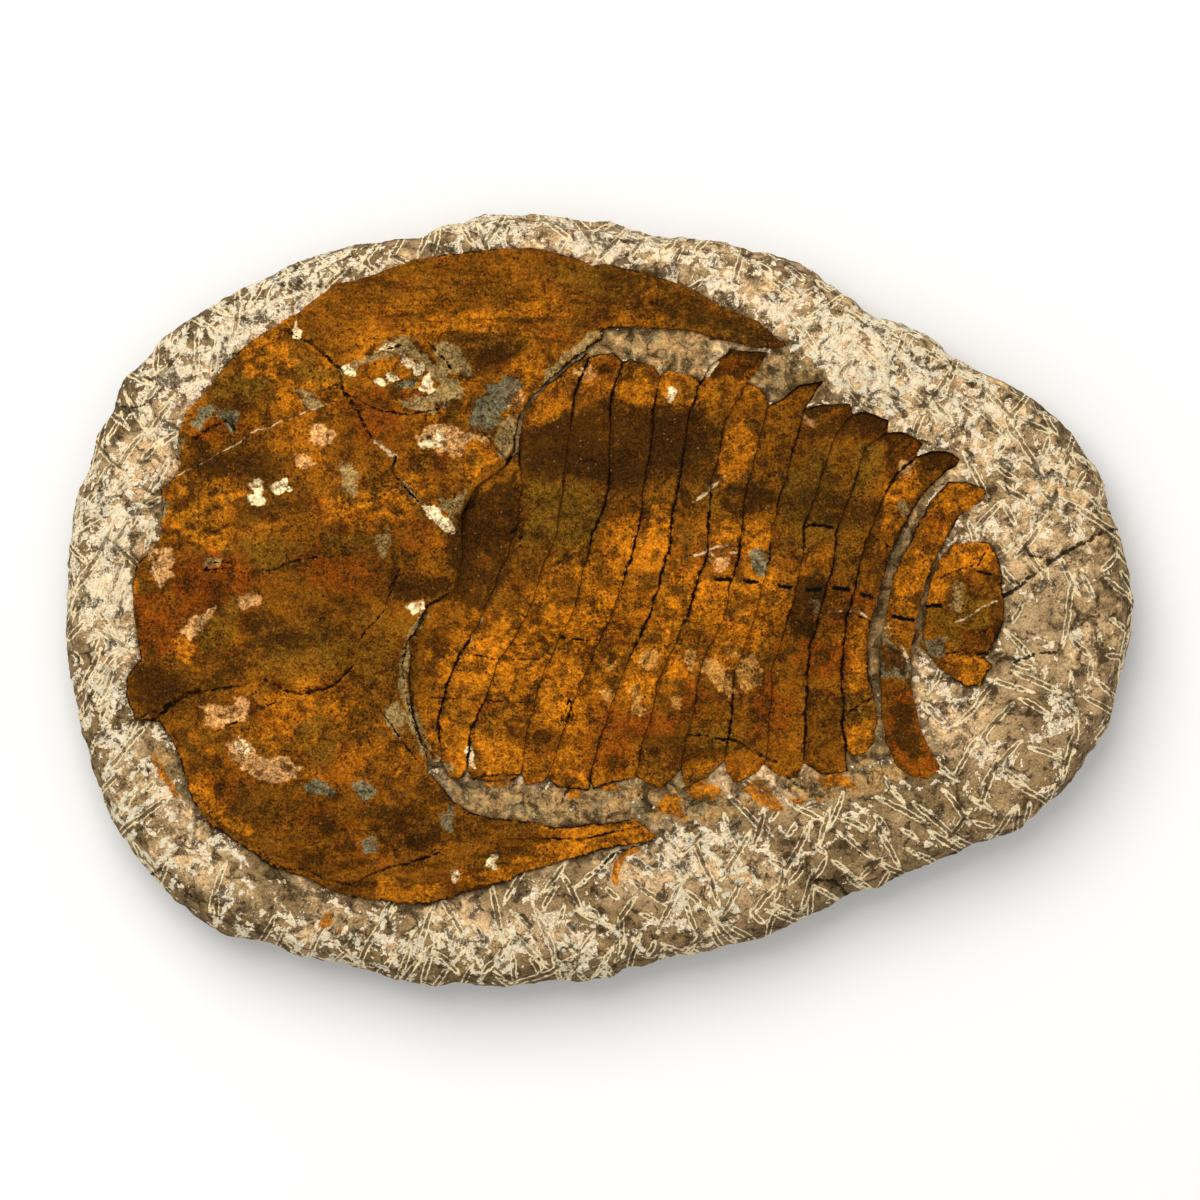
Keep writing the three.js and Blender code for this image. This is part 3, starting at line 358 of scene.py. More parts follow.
    ("spot", 1.0, 0.3, [(631, 704), (642, 700), (650, 709), (642, 714), (633, 711)]),
    ("spot", 1.0, 0.3, [(669, 698), (680, 695), (687, 707), (679, 707)]),
    ("spot", 0.8, 0.4, [(601, 658), (612, 655), (618, 664), (608, 669)]),
    ("spot", 0.8, 0.4, [(724, 648), (736, 644), (742, 656), (730, 660)]),
    ("spot", 0.7, 0.4, [(600, 690), (612, 684), (616, 696), (606, 702)]),
    # The tail shield
    ("bright", 1.0, 0.6, [(942, 556), (960, 544), (990, 540), (998, 556), (986, 566), (960, 572),
        (944, 576)]),
    ("bright", 0.9, 0.5, [(924, 584), (942, 580), (944, 602), (926, 604)]),
    ("olive", 1.0, 0.8, [(944, 606), (970, 604), (1000, 604), (998, 620), (970, 640), (946, 644)]),
    ("grey", 0.6, 0.8, [(950, 584), (962, 580), (958, 600), (952, 618), (944, 606)]),
    ("black", 0.8, 1.0, [(960, 632), (996, 624), (998, 650), (976, 656), (958, 644)]),
    ("black", 0.7, 0.6, [(984, 566), (1002, 576), (1005, 620), (998, 650), (986, 652), (993, 612)]),
    ("red", 0.8, 0.8, [(956, 630), (990, 632), (992, 646), (966, 650)]),
    ("bright", 1.0, 0.5, [(942, 650), (962, 652), (990, 660), (980, 676), (960, 686), (944, 672)]),
    ("slate", 0.8, 0.6, [(922, 640), (944, 636), (944, 656), (926, 660)]),
]

PIGMENTS = ("brown", "olive", "red", "bright", "spot", "grey", "slate", "pink", "cream", "black")

# Shades of fine marks, as display colours
CRACK_SHADE = (0.055, 0.03, 0.012)
SLOT_SHADE = (0.05, 0.05, 0.04)
SEAM_SHADE = (0.12, 0.068, 0.018)
TAN_VEIN_SHADE = (0.2, 0.145, 0.07)
RIM_DARKER_SHADE = (0.36, 0.285, 0.175)
FLAKE_GAP_SHADOW = (0.27, 0.20, 0.11)
STROKE_RING_SHADOW = (0.36, 0.28, 0.165)
STROKE_SHADE = (0.97, 0.88, 0.70)
PECK_SHADE = (0.96, 0.91, 0.78)
HOLLOW_SHADE = (0.21, 0.15, 0.075)
RUST_SHADE = (0.36, 0.24, 0.10)
STONE_CRACK_SHADE = (0.09, 0.07, 0.04)
SIDE_SHADE = (0.40, 0.355, 0.27)

# Cracks and veins of the shell: filling, width and depth in millimetres, line
SHELL_CRACKS = [
    ("dark", 0.55, 0.5, [(285, 330), (309, 342), (342, 370), (344, 393), (360, 416), (375, 439)]),
    ("cream", 0.8, 0.3, [(375, 439), (386, 450), (395, 457)]),
    ("dark", 0.5, 0.5, [(395, 457), (395, 475), (408, 490), (423, 505)]),
    ("cream", 0.6, 0.2, [(402, 482), (412, 494), (423, 505)]),
    ("dark", 0.5, 0.6, [(265, 678), (283, 690), (300, 694), (314, 693), (334, 685), (352, 668)]),
    ("dark", 0.35, 0.3, [(217, 731), (247, 716), (275, 703)]),
    ("dark", 0.8, 0.9, [(135, 724), (152, 722), (170, 708), (189, 693), (201, 692)]),
    ("cream", 0.25, 0.1, [(171, 480), (219, 454), (252, 434), (288, 419), (334, 403)]),
    ("dark", 0.6, 0.5, [(196, 439), (208, 430), (232, 421), (235, 430)]),
    ("dark", 0.5, 0.4, [(324, 391), (336, 386), (347, 384)]),
    ("dark", 0.4, 0.4, [(362, 879), (385, 869), (423, 859), (439, 851)]),
    ("dark", 0.4, 0.4, [(273, 867), (303, 869), (324, 879), (352, 884), (362, 879)]),
    ("dark", 0.35, 0.3, [(535, 838), (577, 840), (619, 832), (642, 825)]),
    ("dark", 0.35, 0.3, [(344, 393), (362, 402), (385, 412), (410, 415), (440, 410), (455, 398)]),
    ("dark", 0.4, 0.4, [(428, 342), (440, 355), (455, 372), (470, 380)]),
    ("dark", 0.35, 0.3, [(225, 568), (205, 570), (213, 562), (230, 562)]),
    ("dark", 0.4, 0.4, [(255, 572), (280, 568), (298, 560), (318, 558)]),
    ("dark", 0.3, 0.3, [(390, 590), (400, 570), (385, 610), (360, 640)]),
    ("dark", 0.3, 0.3, [(423, 620), (409, 640), (403, 665), (407, 700), (418, 735), (440, 768)]),
    ("dark", 0.3, 0.3, [(430, 697), (466, 698), (481, 701), (533, 701)]),
    ("dark", 0.3, 0.3, [(476, 654), (497, 660), (540, 659)]),
    ("dark", 0.45, 0.4, [(690, 735), (715, 737), (735, 741), (750, 750), (762, 757), (778, 762)]),
    ("dark", 0.4, 0.4, [(472, 782), (485, 775), (505, 773), (520, 776)]),
    ("cream", 0.4, 0.1, [(693, 503), (705, 494), (725, 476)]),
    ("cream", 0.3, 0.1, [(697, 498), (712, 485)]),
    ("cream", 0.45, 0.1, [(695, 556), (707, 550), (722, 546), (738, 543)]),
    ("cream", 0.3, 0.1, [(707, 541), (707, 550), (713, 556), (738, 552)]),
    ("cream", 0.35, 0.1, [(829, 612), (845, 611), (858, 612), (871, 620), (884, 628)]),
    ("dark", 0.35, 0.3, [(833, 614), (850, 613), (866, 619), (880, 628)]),
    ("cream", 0.45, 0.1, [(886, 624), (892, 638), (903, 650), (909, 660)]),
    ("dark", 0.35, 0.4, [(940, 578), (955, 570), (972, 566), (977, 571), (990, 573)]),
    ("dark", 0.3, 0.3, [(977, 567), (981, 558), (988, 548)]),
    ("cream", 0.3, 0.1, [(1000, 598), (985, 606), (972, 614), (955, 622)]),
    ("dark", 0.35, 0.3, [(946, 652), (962, 650), (972, 656), (985, 652)]),
    ("dark", 0.4, 0.4, [(842, 718), (858, 706), (872, 697)]),
    ("dark", 0.4, 0.3, [(803, 528), (812, 524), (835, 530)]),
    ("dark", 0.35, 0.3, [(868, 533), (880, 541), (892, 548)]),
    ("dark", 0.35, 0.3, [(598, 640), (575, 640), (560, 636)]),
    ("dark", 0.45, 0.4, [(507, 536), (515, 530), (522, 520), (520, 545)]),
    ("dark", 0.3, 0.2, [(572, 716), (570, 700), (562, 720)]),
    ("cream", 0.3, 0.1, [(483, 618), (474, 630), (470, 640)]),
    ("cream", 0.35, 0.1, [(150, 560), (158, 575), (163, 590)]),
    ("dark", 0.4, 0.4, [(701, 364), (712, 352), (722, 346), (745, 348)]),
]

# The short dark slots along the middle of the thorax
AXIS_SLOTS = [
    [(716, 580), (729, 579)],
    [(745, 581), (757, 583)],
    [(779, 586), (790, 588)],
    [(808, 590), (820, 590)],
    [(834, 588), (848, 590)],
    [(861, 595), (872, 597)],
    [(892, 617), (912, 620)],
    [(925, 606), (940, 606)],
]

# Furrows and ridges of the shell: height and half width in millimetres, line
SHELL_FOLDS = [
    (-0.9, 1.9, [(523, 500), (559, 520), (600, 526), (641, 525), (672, 536), (708, 523), (741, 519),
        (772, 525), (803, 523), (835, 532), (865, 542)]),
    (-0.8, 1.8, [(476, 626), (511, 641), (560, 638), (604, 635), (646, 628), (681, 634), (715, 635),
        (747, 640), (783, 638), (808, 650), (843, 628)]),
    (-0.35, 1.6, [(444, 698), (486, 696), (538, 694), (572, 703), (607, 716), (649, 722), (688, 732),
        (728, 737), (767, 742)]),
    (0.8, 1.8, [(349, 385), (362, 370), (380, 357), (400, 350), (420, 357), (434, 374), (440, 390)]),
    (-0.8, 1.4, [(358, 388), (380, 378), (405, 374), (422, 384)]),
    (0.9, 1.8, [(268, 668), (290, 682), (314, 686), (336, 678), (350, 662)]),
    (-0.7, 1.5, [(176, 484), (219, 458), (252, 438), (288, 421), (334, 405)]),
    (-0.5, 1.6, [(170, 545), (200, 548), (240, 545), (290, 530), (330, 545), (385, 545)]),
    (-0.5, 1.6, [(190, 612), (240, 606), (300, 596), (340, 570), (375, 560)]),
    (0.5, 1.4, [(420, 338), (470, 322), (530, 308), (590, 312)]),
    (-0.6, 2.0, [(228, 745), (255, 770), (300, 792), (350, 795), (400, 790), (430, 800)]),
    (0.5, 1.5, [(200, 800), (235, 835), (290, 862), (350, 880), (420, 882), (480, 868), (560, 846)]),
    (-0.5, 1.4, [(215, 788), (250, 822), (300, 848), (360, 858), (430, 846), (490, 836)]),
    (-0.4, 1.1, [(941, 600), (955, 585), (972, 580)]),
    (-0.4, 1.1, [(944, 620), (960, 608), (985, 596)]),
    (-0.4, 1.1, [(950, 640), (968, 628), (992, 615)]),
    (-0.5, 1.5, [(330, 440), (360, 480), (370, 520), (352, 560)]),
]

# Marks of the stone: how thickly long strokes and short pecks lie, as centre, radii, turn, share
STROKE_ZONES = [
    (600, 980, 520, 120, 6, 1.0), (1060, 600, 110, 230, 0, 0.75), (100, 600, 70, 330, 0, 0.9),
    (300, 290, 260, 60, 25, 1.0), (620, 235, 260, 40, -5, 0.8), (880, 350, 150, 80, -25, 1.0),
    (700, 880, 240, 80, 20, 1.0), (900, 830, 180, 60, 20, 0.9),
]
PECK_ZONES = [
    (185, 850, 70, 60, -40, 0.4), (130, 790, 40, 60, 0, 0.6), (870, 370, 120, 60, -25, 0.6),
    (260, 310, 110, 36, 30, 0.6), (110, 500, 40, 60, 0, 0.4), (420, 950, 160, 30, 0, 0.4),
    (700, 870, 60, 40, 0, 0.5), (110, 700, 40, 70, 0, 0.4), (600, 945, 90, 30, 0, 0.3),
]
BRUISE_ZONES = [
    (880, 368, 120, 50, -24, 0.9), (760, 300, 80, 34, -20, 0.7), (280, 310, 120, 34, 30, 0.9),
    (180, 375, 60, 60, 40, 0.8), (110, 560, 40, 90, 0, 1.15), (125, 700, 40, 70, 0, 0.8),
    (180, 840, 60, 46, -38, 0.3), (380, 940, 180, 30, 0, 0.4), (600, 235, 240, 26, -4, 0.9),
    (690, 850, 60, 26, 0, 0.6), (950, 690, 40, 40, 0, 0.4), (1030, 500, 60, 50, 0, 0.4),
    (640, 930, 160, 20, 0, 0.5), (960, 770, 60, 20, 0, 0.3), (1080, 700, 40, 60, 20, 0.3),
]
SHADE_ZONES = [
    (130, 380, 40, 34, 50, 0.9), (210, 330, 60, 20, 35, 0.7), (110, 420, 30, 20, 0, 0.8),
    (1060, 740, 70, 60, 0, 0.6), (500, 970, 300, 26, 0, 0.7), (330, 275, 80, 16, 25, 0.7),
    (90, 480, 20, 80, 0, 0.4), (880, 860, 160, 30, 25, 0.7), (540, 225, 160, 12, 0, 0.4),
    (960, 350, 50, 14, -30, 0.6), (200, 905, 60, 20, -30, 0.8), (270, 880, 50, 14, -35, 0.8),
    (700, 930, 120, 40, 0, 0.6), (1010, 620, 60, 60, 0, 0.4), (90, 720, 30, 70, 0, 0.5),
    (800, 830, 120, 30, 0, 0.5), (560, 900, 80, 30, 0, 0.5), (950, 800, 80, 40, 20, 0.6),
]

# The smooth tan rock close to the shell, which no tool has struck
TAN_PATCHES = [
    [(446, 774), (470, 782), (540, 790), (640, 782), (700, 790), (770, 800), (720, 822), (650, 824),
        (560, 828), (500, 820), (458, 806)],
    [(592, 345), (600, 328), (700, 330), (716, 340), (704, 362), (700, 385), (680, 370), (655, 366),
        (618, 352), (590, 365)],
    [(750, 372), (772, 352), (800, 350), (830, 380), (820, 402), (792, 404), (776, 408), (756, 386)],
    [(915, 482), (945, 470), (905, 545), (890, 600), (884, 670), (886, 748), (876, 752), (870, 690),
        (868, 640), (876, 590)],
    [(840, 760), (884, 748), (905, 780), (850, 796), (800, 800), (780, 780), (812, 770)],
    [(910, 560), (940, 540), (930, 600), (922, 650), (912, 660)],
    [(150, 742), (166, 744), (186, 777), (189, 803), (176, 793), (156, 757)],
    [(130, 560), (152, 548), (160, 560), (150, 580), (134, 590)],
]

# Chips of shell left on the stone
SHELL_CHIPS = [
    [(653, 810), (666, 794), (678, 794), (685, 819), (674, 815)],
    [(737, 788), (760, 779), (771, 789), (783, 810), (773, 812), (758, 800)],
    [(815, 780), (836, 772), (852, 782), (860, 790), (842, 786), (824, 786)],
    [(789, 800), (800, 797), (809, 803), (796, 805)],
    [(815, 799), (821, 798), (820, 805)],
    [(684, 790), (700, 780), (722, 790), (712, 800), (694, 800)],
    [(598, 785), (608, 782), (619, 787), (610, 792)],
    [(566, 788), (580, 789), (581, 796), (570, 798)],
    [(484, 783), (500, 779), (514, 783), (500, 788)],
    [(150, 749), (163, 767), (179, 795), (174, 796), (158, 772)],
    [(612, 882), (614, 862), (624, 850), (640, 846), (641, 850), (626, 856), (619, 870), (617, 884)],
    [(319, 924), (324, 914), (333, 913), (331, 922), (324, 930)],
    [(336, 930), (342, 928), (341, 936)],
]

# Cracks in the stone: width and depth in millimetres, line
STONE_CRACKS = [
    (0.6, 0.7, [(1125, 524), (1098, 535), (1069, 549), (1045, 566), (1018, 588), (1000, 598)]),
    (0.4, 0.4, [(1030, 556), (1052, 560), (1069, 549)]),
    (0.5, 0.5, [(811, 879), (834, 882), (849, 889), (883, 889)]),
    (0.5, 0.5, [(1015, 662), (1034, 655), (1054, 652)]),
    (0.4, 0.4, [(597, 872), (606, 862), (616, 852), (640, 845), (655, 838)]),
    (0.4, 0.4, [(560, 806), (566, 792), (571, 785)]),
    (0.4, 0.4, [(638, 796), (652, 806), (668, 812)]),
    (0.5, 0.5, [(758, 758), (776, 768), (790, 780), (806, 790)]),
    (0.4, 0.4, [(110, 418), (128, 408), (150, 404)]),
    (0.4, 0.4, [(190, 897), (176, 880), (160, 868)]),
    (0.5, 0.4, [(240, 840), (262, 858), (275, 867)]),
]


# Settings

def tint(name, hint, value):
    return FloatVectorProperty(
        name=name, description=hint, default=value, size=3, min=0, max=1, subtype="COLOR_GAMMA"
    )


def length(name, hint, value, low, high):
    return FloatProperty(
        name=name, description=hint, default=value, min=low, max=high, subtype="DISTANCE", unit="LENGTH"
    )


class FOSSIL_PG_stone(bpy.types.PropertyGroup):
    mesh_step: length("Mesh Step", "Grid spacing of the dressed face", 0.00054, 0.0003, 0.003)
    roughness_height: length("Roughness", "Height of the small bumps", 0.00034, 0.0, 0.002)
    stroke_count: FloatProperty(
        name="Strokes", description="Long chisel strokes for each square metre",
        default=120000.0, min=0.0, max=400000.0,
    )
    stroke_spacing: length("Stroke Spacing", "Least way between long strokes", 0.0057, 0.0, 0.03)
    stroke_length: length("Stroke Length", "Mean length of a long stroke", 0.0112, 0.001, 0.03)
    stroke_width: length("Stroke Width", "Width of a long stroke", 0.0014, 0.0002, 0.004)
    stroke_depth: length("Stroke Depth", "Depth of a long stroke", 0.00035, 0.0, 0.002)
    peck_count: FloatProperty(
        name="Pecks", description="Short chisel pecks for each square metre",
        default=200000.0, min=0.0, max=600000.0,
    )
    peck_spacing: length("Peck Spacing", "Least way between pecks", 0.0028, 0.0, 0.03)
    peck_length: length("Peck Length", "Mean length of a peck", 0.0034, 0.0005, 0.01)
    peck_width: length("Peck Width", "Width of a peck", 0.0014, 0.0002, 0.004)
    peck_depth: length("Peck Depth", "Depth of a peck", 0.0003, 0.0, 0.002)
    seed: IntProperty(name="Seed", description="Which scatter of marks is drawn", default=7, min=0)
    body: tint("Stone", "The fresh stone", (0.75, 0.62, 0.45))
    deep: tint("Deep Stone", "The darker beds of the stone", (0.42, 0.335, 0.205))
    bruise: tint("Bruise", "Stone crushed white by a tool", (0.98, 0.90, 0.76))
    tan: tint("Tan Rock", "The smooth rock beside the shell", (0.60, 0.46, 0.275))


class FOSSIL_PG_shell(bpy.types.PropertyGroup):
    mesh_step: length("Mesh Step", "Grid spacing of the shell", 0.00035, 0.0002, 0.002)
    seam_depth: length("Seam Depth", "How far the edges of a piece turn down", 0.0003, 0.0, 0.003)
    ripple: length("Ripple", "Height of the small bumps", 0.00016, 0.0, 0.001)
    orange: tint("Orange", "The shell's main colour", (0.575, 0.335, 0.045))
    brown: tint("Brown", "The shell's second colour", (0.385, 0.225, 0.025))
    bright: tint("Bright Orange", "Freshly cleaned shell", (0.70, 0.41, 0.05))
    red: tint("Rust", "Rust-red stains", (0.43, 0.195, 0.02))
    olive: tint("Olive", "Olive stains", (0.37, 0.265, 0.055))
    black: tint("Dark", "The darkest stains", (0.175, 0.095, 0.012))
    spot: tint("Pale Spots", "Round pale spots", (0.72, 0.52, 0.25))
    slate: tint("Slate", "Blue-grey filling", (0.42, 0.41, 0.30))
    grey: tint("Grey Rock", "Rock filling where the shell is missing", (0.55, 0.46, 0.28))
    pink: tint("Pink Rock", "Pale pink filling", (0.80, 0.59, 0.35))
    cream: tint("Cream", "Chalky filling of the cracks", (0.92, 0.82, 0.62))


class FOSSIL_PG_stage(bpy.types.PropertyGroup):
    floor_colour: tint("Floor", "The plain floor", (0.97, 0.97, 0.965))
    key_power: FloatProperty(
        name="Key Light", description="Power of the large light", default=14.0, min=0.0, subtype="POWER"
    )
    sky_strength: FloatProperty(
        name="Sky", description="Strength of the even light from all sides", default=0.66, min=0.0
    )
    lens: FloatProperty(
        name="Lens", description="Focal length of the camera", default=250.0, min=20.0, unit="CAMERA"
    )


# Numbers for shapes

def place(pixels):
    """Photograph pixels as millimetres in the part's frame."""
    return (np.asarray(pixels, float) - PHOTO_CENTRE) * (MM_PER_PIXEL, -MM_PER_PIXEL)


def step_up(low, high, value):
    t = np.clip((value - low) / (high - low), 0, 1)
    return t * t * (3 - 2 * t)


def lattice(ix, iy, seed):
    n = (ix * 374761393 + iy * 668265263 + seed * 974634777) & 0xFFFFFFFF
    n = ((n ^ (n >> 13)) * 1274126177) & 0xFFFFFFFF
    return ((n ^ (n >> 16)) & 0xFFFF) / 32767.5 - 1


def swell(x, y, size, seed):
    """Smooth noise from -1 to 1, with bumps of that size."""
    u, v = x / size, y / size
    ix, iy = np.floor(u).astype(np.int64), np.floor(v).astype(np.int64)
    fu, fv = u - ix, v - iy
    fu = fu * fu * fu * (fu * (fu * 6 - 15) + 10)
    fv = fv * fv * fv * (fv * (fv * 6 - 15) + 10)
    low = lattice(ix, iy, seed) * (1 - fu) + lattice(ix + 1, iy, seed) * fu
    high = lattice(ix, iy + 1, seed) * (1 - fu) + lattice(ix + 1, iy + 1, seed) * fu
    return low * (1 - fv) + high * fv


def grain(x, y, size, seed, octaves=4):
    """Rough noise: smooth noise at halving sizes, each turned from the last."""
    total, weight = 0, 0
    for k in range(octaves):
        c, s = math.cos(0.9 * k + seed), math.sin(0.9 * k + seed)
        part = 0.5 ** k
        total = total + part * swell(c * x - s * y, s * x + c * y, size * part, seed * 17 + k)
        weight += part
    return total / weight


def warped(x, y):
    """The same small ragged shift of every outline, so that neighbours still fit."""
    dx = 0.6 * grain(x, y, 4.0, 11, 4)
    dy = 0.6 * grain(x, y, 4.0, 12, 4)
    return x + dx, y + dy


def ragged(x, y, amount):
    """A strong ragged shift, which breaks up the plain outlines of the stains."""
    dx = amount * grain(x, y, 11, 13, 4)
    dy = amount * grain(x, y, 11, 14, 4)
    return x + dx, y + dy


def creases(x, y, size, seed):
    """Rounded bumps with sharp valleys between them, from 0 in a valley to about 1."""
    return np.abs(grain(x, y, size, seed, 3)) ** 0.6


def edge_distance(x, y, loop):
    """Distance to a closed outline, positive inside it."""
    best = np.full(x.shape, 1e9)
    inside = np.zeros(x.shape, bool)
    for (ax, ay), (bx, by) in zip(loop, np.roll(loop, -1, axis=0)):
        ex, ey = bx - ax, by - ay
        t = np.clip(((x - ax) * ex + (y - ay) * ey) / max(ex * ex + ey * ey, 1e-12), 0, 1)
        best = np.minimum(best, (x - ax - t * ex) ** 2 + (y - ay - t * ey) ** 2)
        if ey:
            inside ^= ((ay <= y) != (by <= y)) & (x < ax + (y - ay) * ex / ey)
    return np.where(inside, 1, -1) * np.sqrt(best)


def line_distance(x, y, line, reach):
    """Distance to an open line, and reach wherever it is farther than that."""
    far = np.full(x.shape, float(reach))
    low, high = line.min(0) - reach, line.max(0) + reach
    near = (x > low[0]) & (x < high[0]) & (y > low[1]) & (y < high[1])
    if not near.any():
        return far
    px, py = x[near], y[near]
    best = np.full(px.shape, float(reach) ** 2)
    for (ax, ay), (bx, by) in zip(line[:-1], line[1:]):
        ex, ey = bx - ax, by - ay
        t = np.clip(((px - ax) * ex + (py - ay) * ey) / max(ex * ex + ey * ey, 1e-12), 0, 1)
        best = np.minimum(best, (px - ax - t * ex) ** 2 + (py - ay - t * ey) ** 2)
    far[near] = np.sqrt(best)
    return far


def zone_share(x, y, zones, softness=0.8, raggedness=0.35, seed=31):
    """How strongly any of the zones covers each point, from 0 to 1, with ragged edges."""
    rough = raggedness * grain(x, y, 5.0, seed, 4)
    cover = np.zeros(x.shape)
    for px, py, rx, ry, turn, strength in zones:
        cx, cy = place((px, py))
        a = math.radians(turn)
        dx, dy = x - cx, y - cy
        u = (dx * math.cos(a) + dy * math.sin(a)) / (rx * MM_PER_PIXEL)
        v = (dy * math.cos(a) - dx * math.sin(a)) / (ry * MM_PER_PIXEL)
        r = np.hypot(u, v) + rough
        cover = np.maximum(cover, strength * (1 - step_up(1 - softness / 2, 1 + softness / 2, r)))
    return cover


def patch_share(x, y, outline, softness=0.5, raggedness=0.5, seed=37):
    """How much of an outlined patch covers each point, from 0 to 1, with ragged edges."""
    loop = place(outline)
    margin = 2 + softness / 2
    low, high = loop.min(0) - margin, loop.max(0) + margin
    near = (x > low[0]) & (x < high[0]) & (y > low[1]) & (y < high[1])
    cover = np.zeros(x.shape)
    if near.any():
        px, py = x[near], y[near]
        d = edge_distance(px, py, loop) + raggedness * grain(px, py, 2.2, seed, 3)
        cover[near] = step_up(-softness / 2, softness / 2, d)
    return cover


# The solids as numbers

def solid_of(nodes):
    """Corners in millimetres and triangles of some of the part's solids, joined."""
    points, triangles, count = [], [], 0
    for node in nodes:
        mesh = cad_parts[node].data
        mesh.calc_loop_triangles()
        corners = np.empty(len(mesh.vertices) * 3)
        mesh.vertices.foreach_get("co", corners)
        tris = np.empty(len(mesh.loop_triangles) * 3, np.int64)
        mesh.loop_triangles.foreach_get("vertices", tris)
        points.append(corners.reshape(-1, 3) / MM)
        triangles.append(tris.reshape(-1, 3) + count)
        count += len(mesh.vertices)
    return np.vstack(points), np.vstack(triangles)


def chain(starts, ends):
    """Closed loops out of directed edges."""
    follow = dict(zip(starts, ends))
    loops = []
    while follow:
        first, here = follow.popitem()
        loop = [first]
        while here != first:
            loop.append(here)
            here = follow.pop(here, first)
        loops.append(np.array(loop))
    return loops


def open_edges(faces, count):
    """The directed edges that only one face has."""
    edges = np.vstack([
        np.stack([group, np.roll(group, -1, axis=1)], axis=-1).reshape(-1, 2) for group in faces
    ])
    key = edges[:, 0] * count + edges[:, 1]
    back = edges[:, 1] * count + edges[:, 0]
    return edges[~np.isin(key, back)]


def footprint(node):
    """A solid's outline on its flat underside, anticlockwise."""
    points, triangles = solid_of([node])
    low = points[:, 2].min() + 0.01
    base = triangles[(points[triangles, 2] < low).all(axis=1)]
    keys = np.round(points[:, :2] * 1000).astype(np.int64)
    _, same = np.unique(keys, axis=0, return_inverse=True)
    same = same.reshape(-1)
    spot = np.zeros((same.max() + 1, 2))
    spot[same] = points[:, :2]
    edges = open_edges([same[base]], len(spot))
    loops = chain(edges[:, 0].tolist(), edges[:, 1].tolist())
    loop = spot[max(loops, key=len)]
    x, y = loop[:, 0], loop[:, 1]
    area = (x * np.roll(y, -1) - y * np.roll(x, -1)).sum()
    return loop if area > 0 else loop[::-1]


class HeightMap:
    """The top of some solids as a smooth surface: rays from above, blurred, then a cubic spline."""

    step = 1.0

    def __init__(self, nodes, blur):
        points, triangles = solid_of(nodes)
        tree = BVHTree.FromPolygons(points.tolist(), triangles.tolist())
        margin = 3 * blur + 4
        self.low = points[:, :2].min(0) - margin
        size = points[:, :2].max(0) + margin - self.low
        nx, ny = (int(s / self.step) + 2 for s in size)
        down = Vector((0, 0, -1))
        heights = np.full((ny, nx), np.nan)
        for j in range(ny):
            y = self.low[1] + j * self.step
            for i in range(nx):
                hit = tree.ray_cast(Vector((self.low[0] + i * self.step, y, 90)), down)[0]
                if hit is not None and hit.z > BED_HEIGHT + 0.5:
                    heights[j, i] = hit.z
        self.heights = self.blurred(heights, blur / self.step)

    @staticmethod
    def blurred(values, sigma):
        known = ~np.isnan(values)
        reach = int(3 * sigma) + 1
        kernel = np.exp(-0.5 * (np.arange(-reach, reach + 1) / sigma) ** 2)

        def spread(a):
            for axis in (0, 1):
                a = np.apply_along_axis(lambda m: np.convolve(m, kernel, "same"), axis, a)
            return a

        weight = spread(known.astype(float))
        total = spread(np.where(known, values, 0))
        mean = values[known].mean()
        return (total + 1e-3 * mean) / (weight + 1e-3)

    def __call__(self, x, y):
        u = np.clip((x - self.low[0]) / self.step, 1, self.heights.shape[1] - 3)
        v = np.clip((y - self.low[1]) / self.step, 1, self.heights.shape[0] - 3)
        iu, iv = np.floor(u).astype(int), np.floor(v).astype(int)

        def weights(t):
            s = 1 - t
            near = (3 * t ** 3 - 6 * t ** 2 + 4) / 6
            far = (3 * s ** 3 - 6 * s ** 2 + 4) / 6
            return s ** 3 / 6, near, far, t ** 3 / 6

        total = np.zeros(x.shape)
        for a, wa in enumerate(weights(v - iv)):
            for b, wb in enumerate(weights(u - iu)):
                total += wa * wb * self.heights[iv + a - 1, iu + b - 1]
        return total


# Meshes

# Where a square cell's corners (0 to 3, anticlockwise) are inside, the faces that cover it. Points 4
# to 7 lie where the outline crosses the cell's edges.
CELL_FACES = {
    1: [(0, 4, 7)], 2: [(1, 5, 4)], 3: [(0, 1, 5, 7)], 4: [(2, 6, 5)], 5: [(0, 4, 7), (2, 6, 5)],
    6: [(1, 2, 6, 4)], 7: [(0, 1, 2, 6, 7)], 8: [(3, 7, 6)], 9: [(0, 4, 6, 3)],
    10: [(1, 5, 4), (3, 7, 6)], 11: [(0, 1, 5, 6, 3)], 12: [(2, 3, 7, 5)], 13: [(0, 4, 5, 2, 3)],
    14: [(1, 2, 3, 7, 4)], 15: [(0, 1, 2, 3)],
}


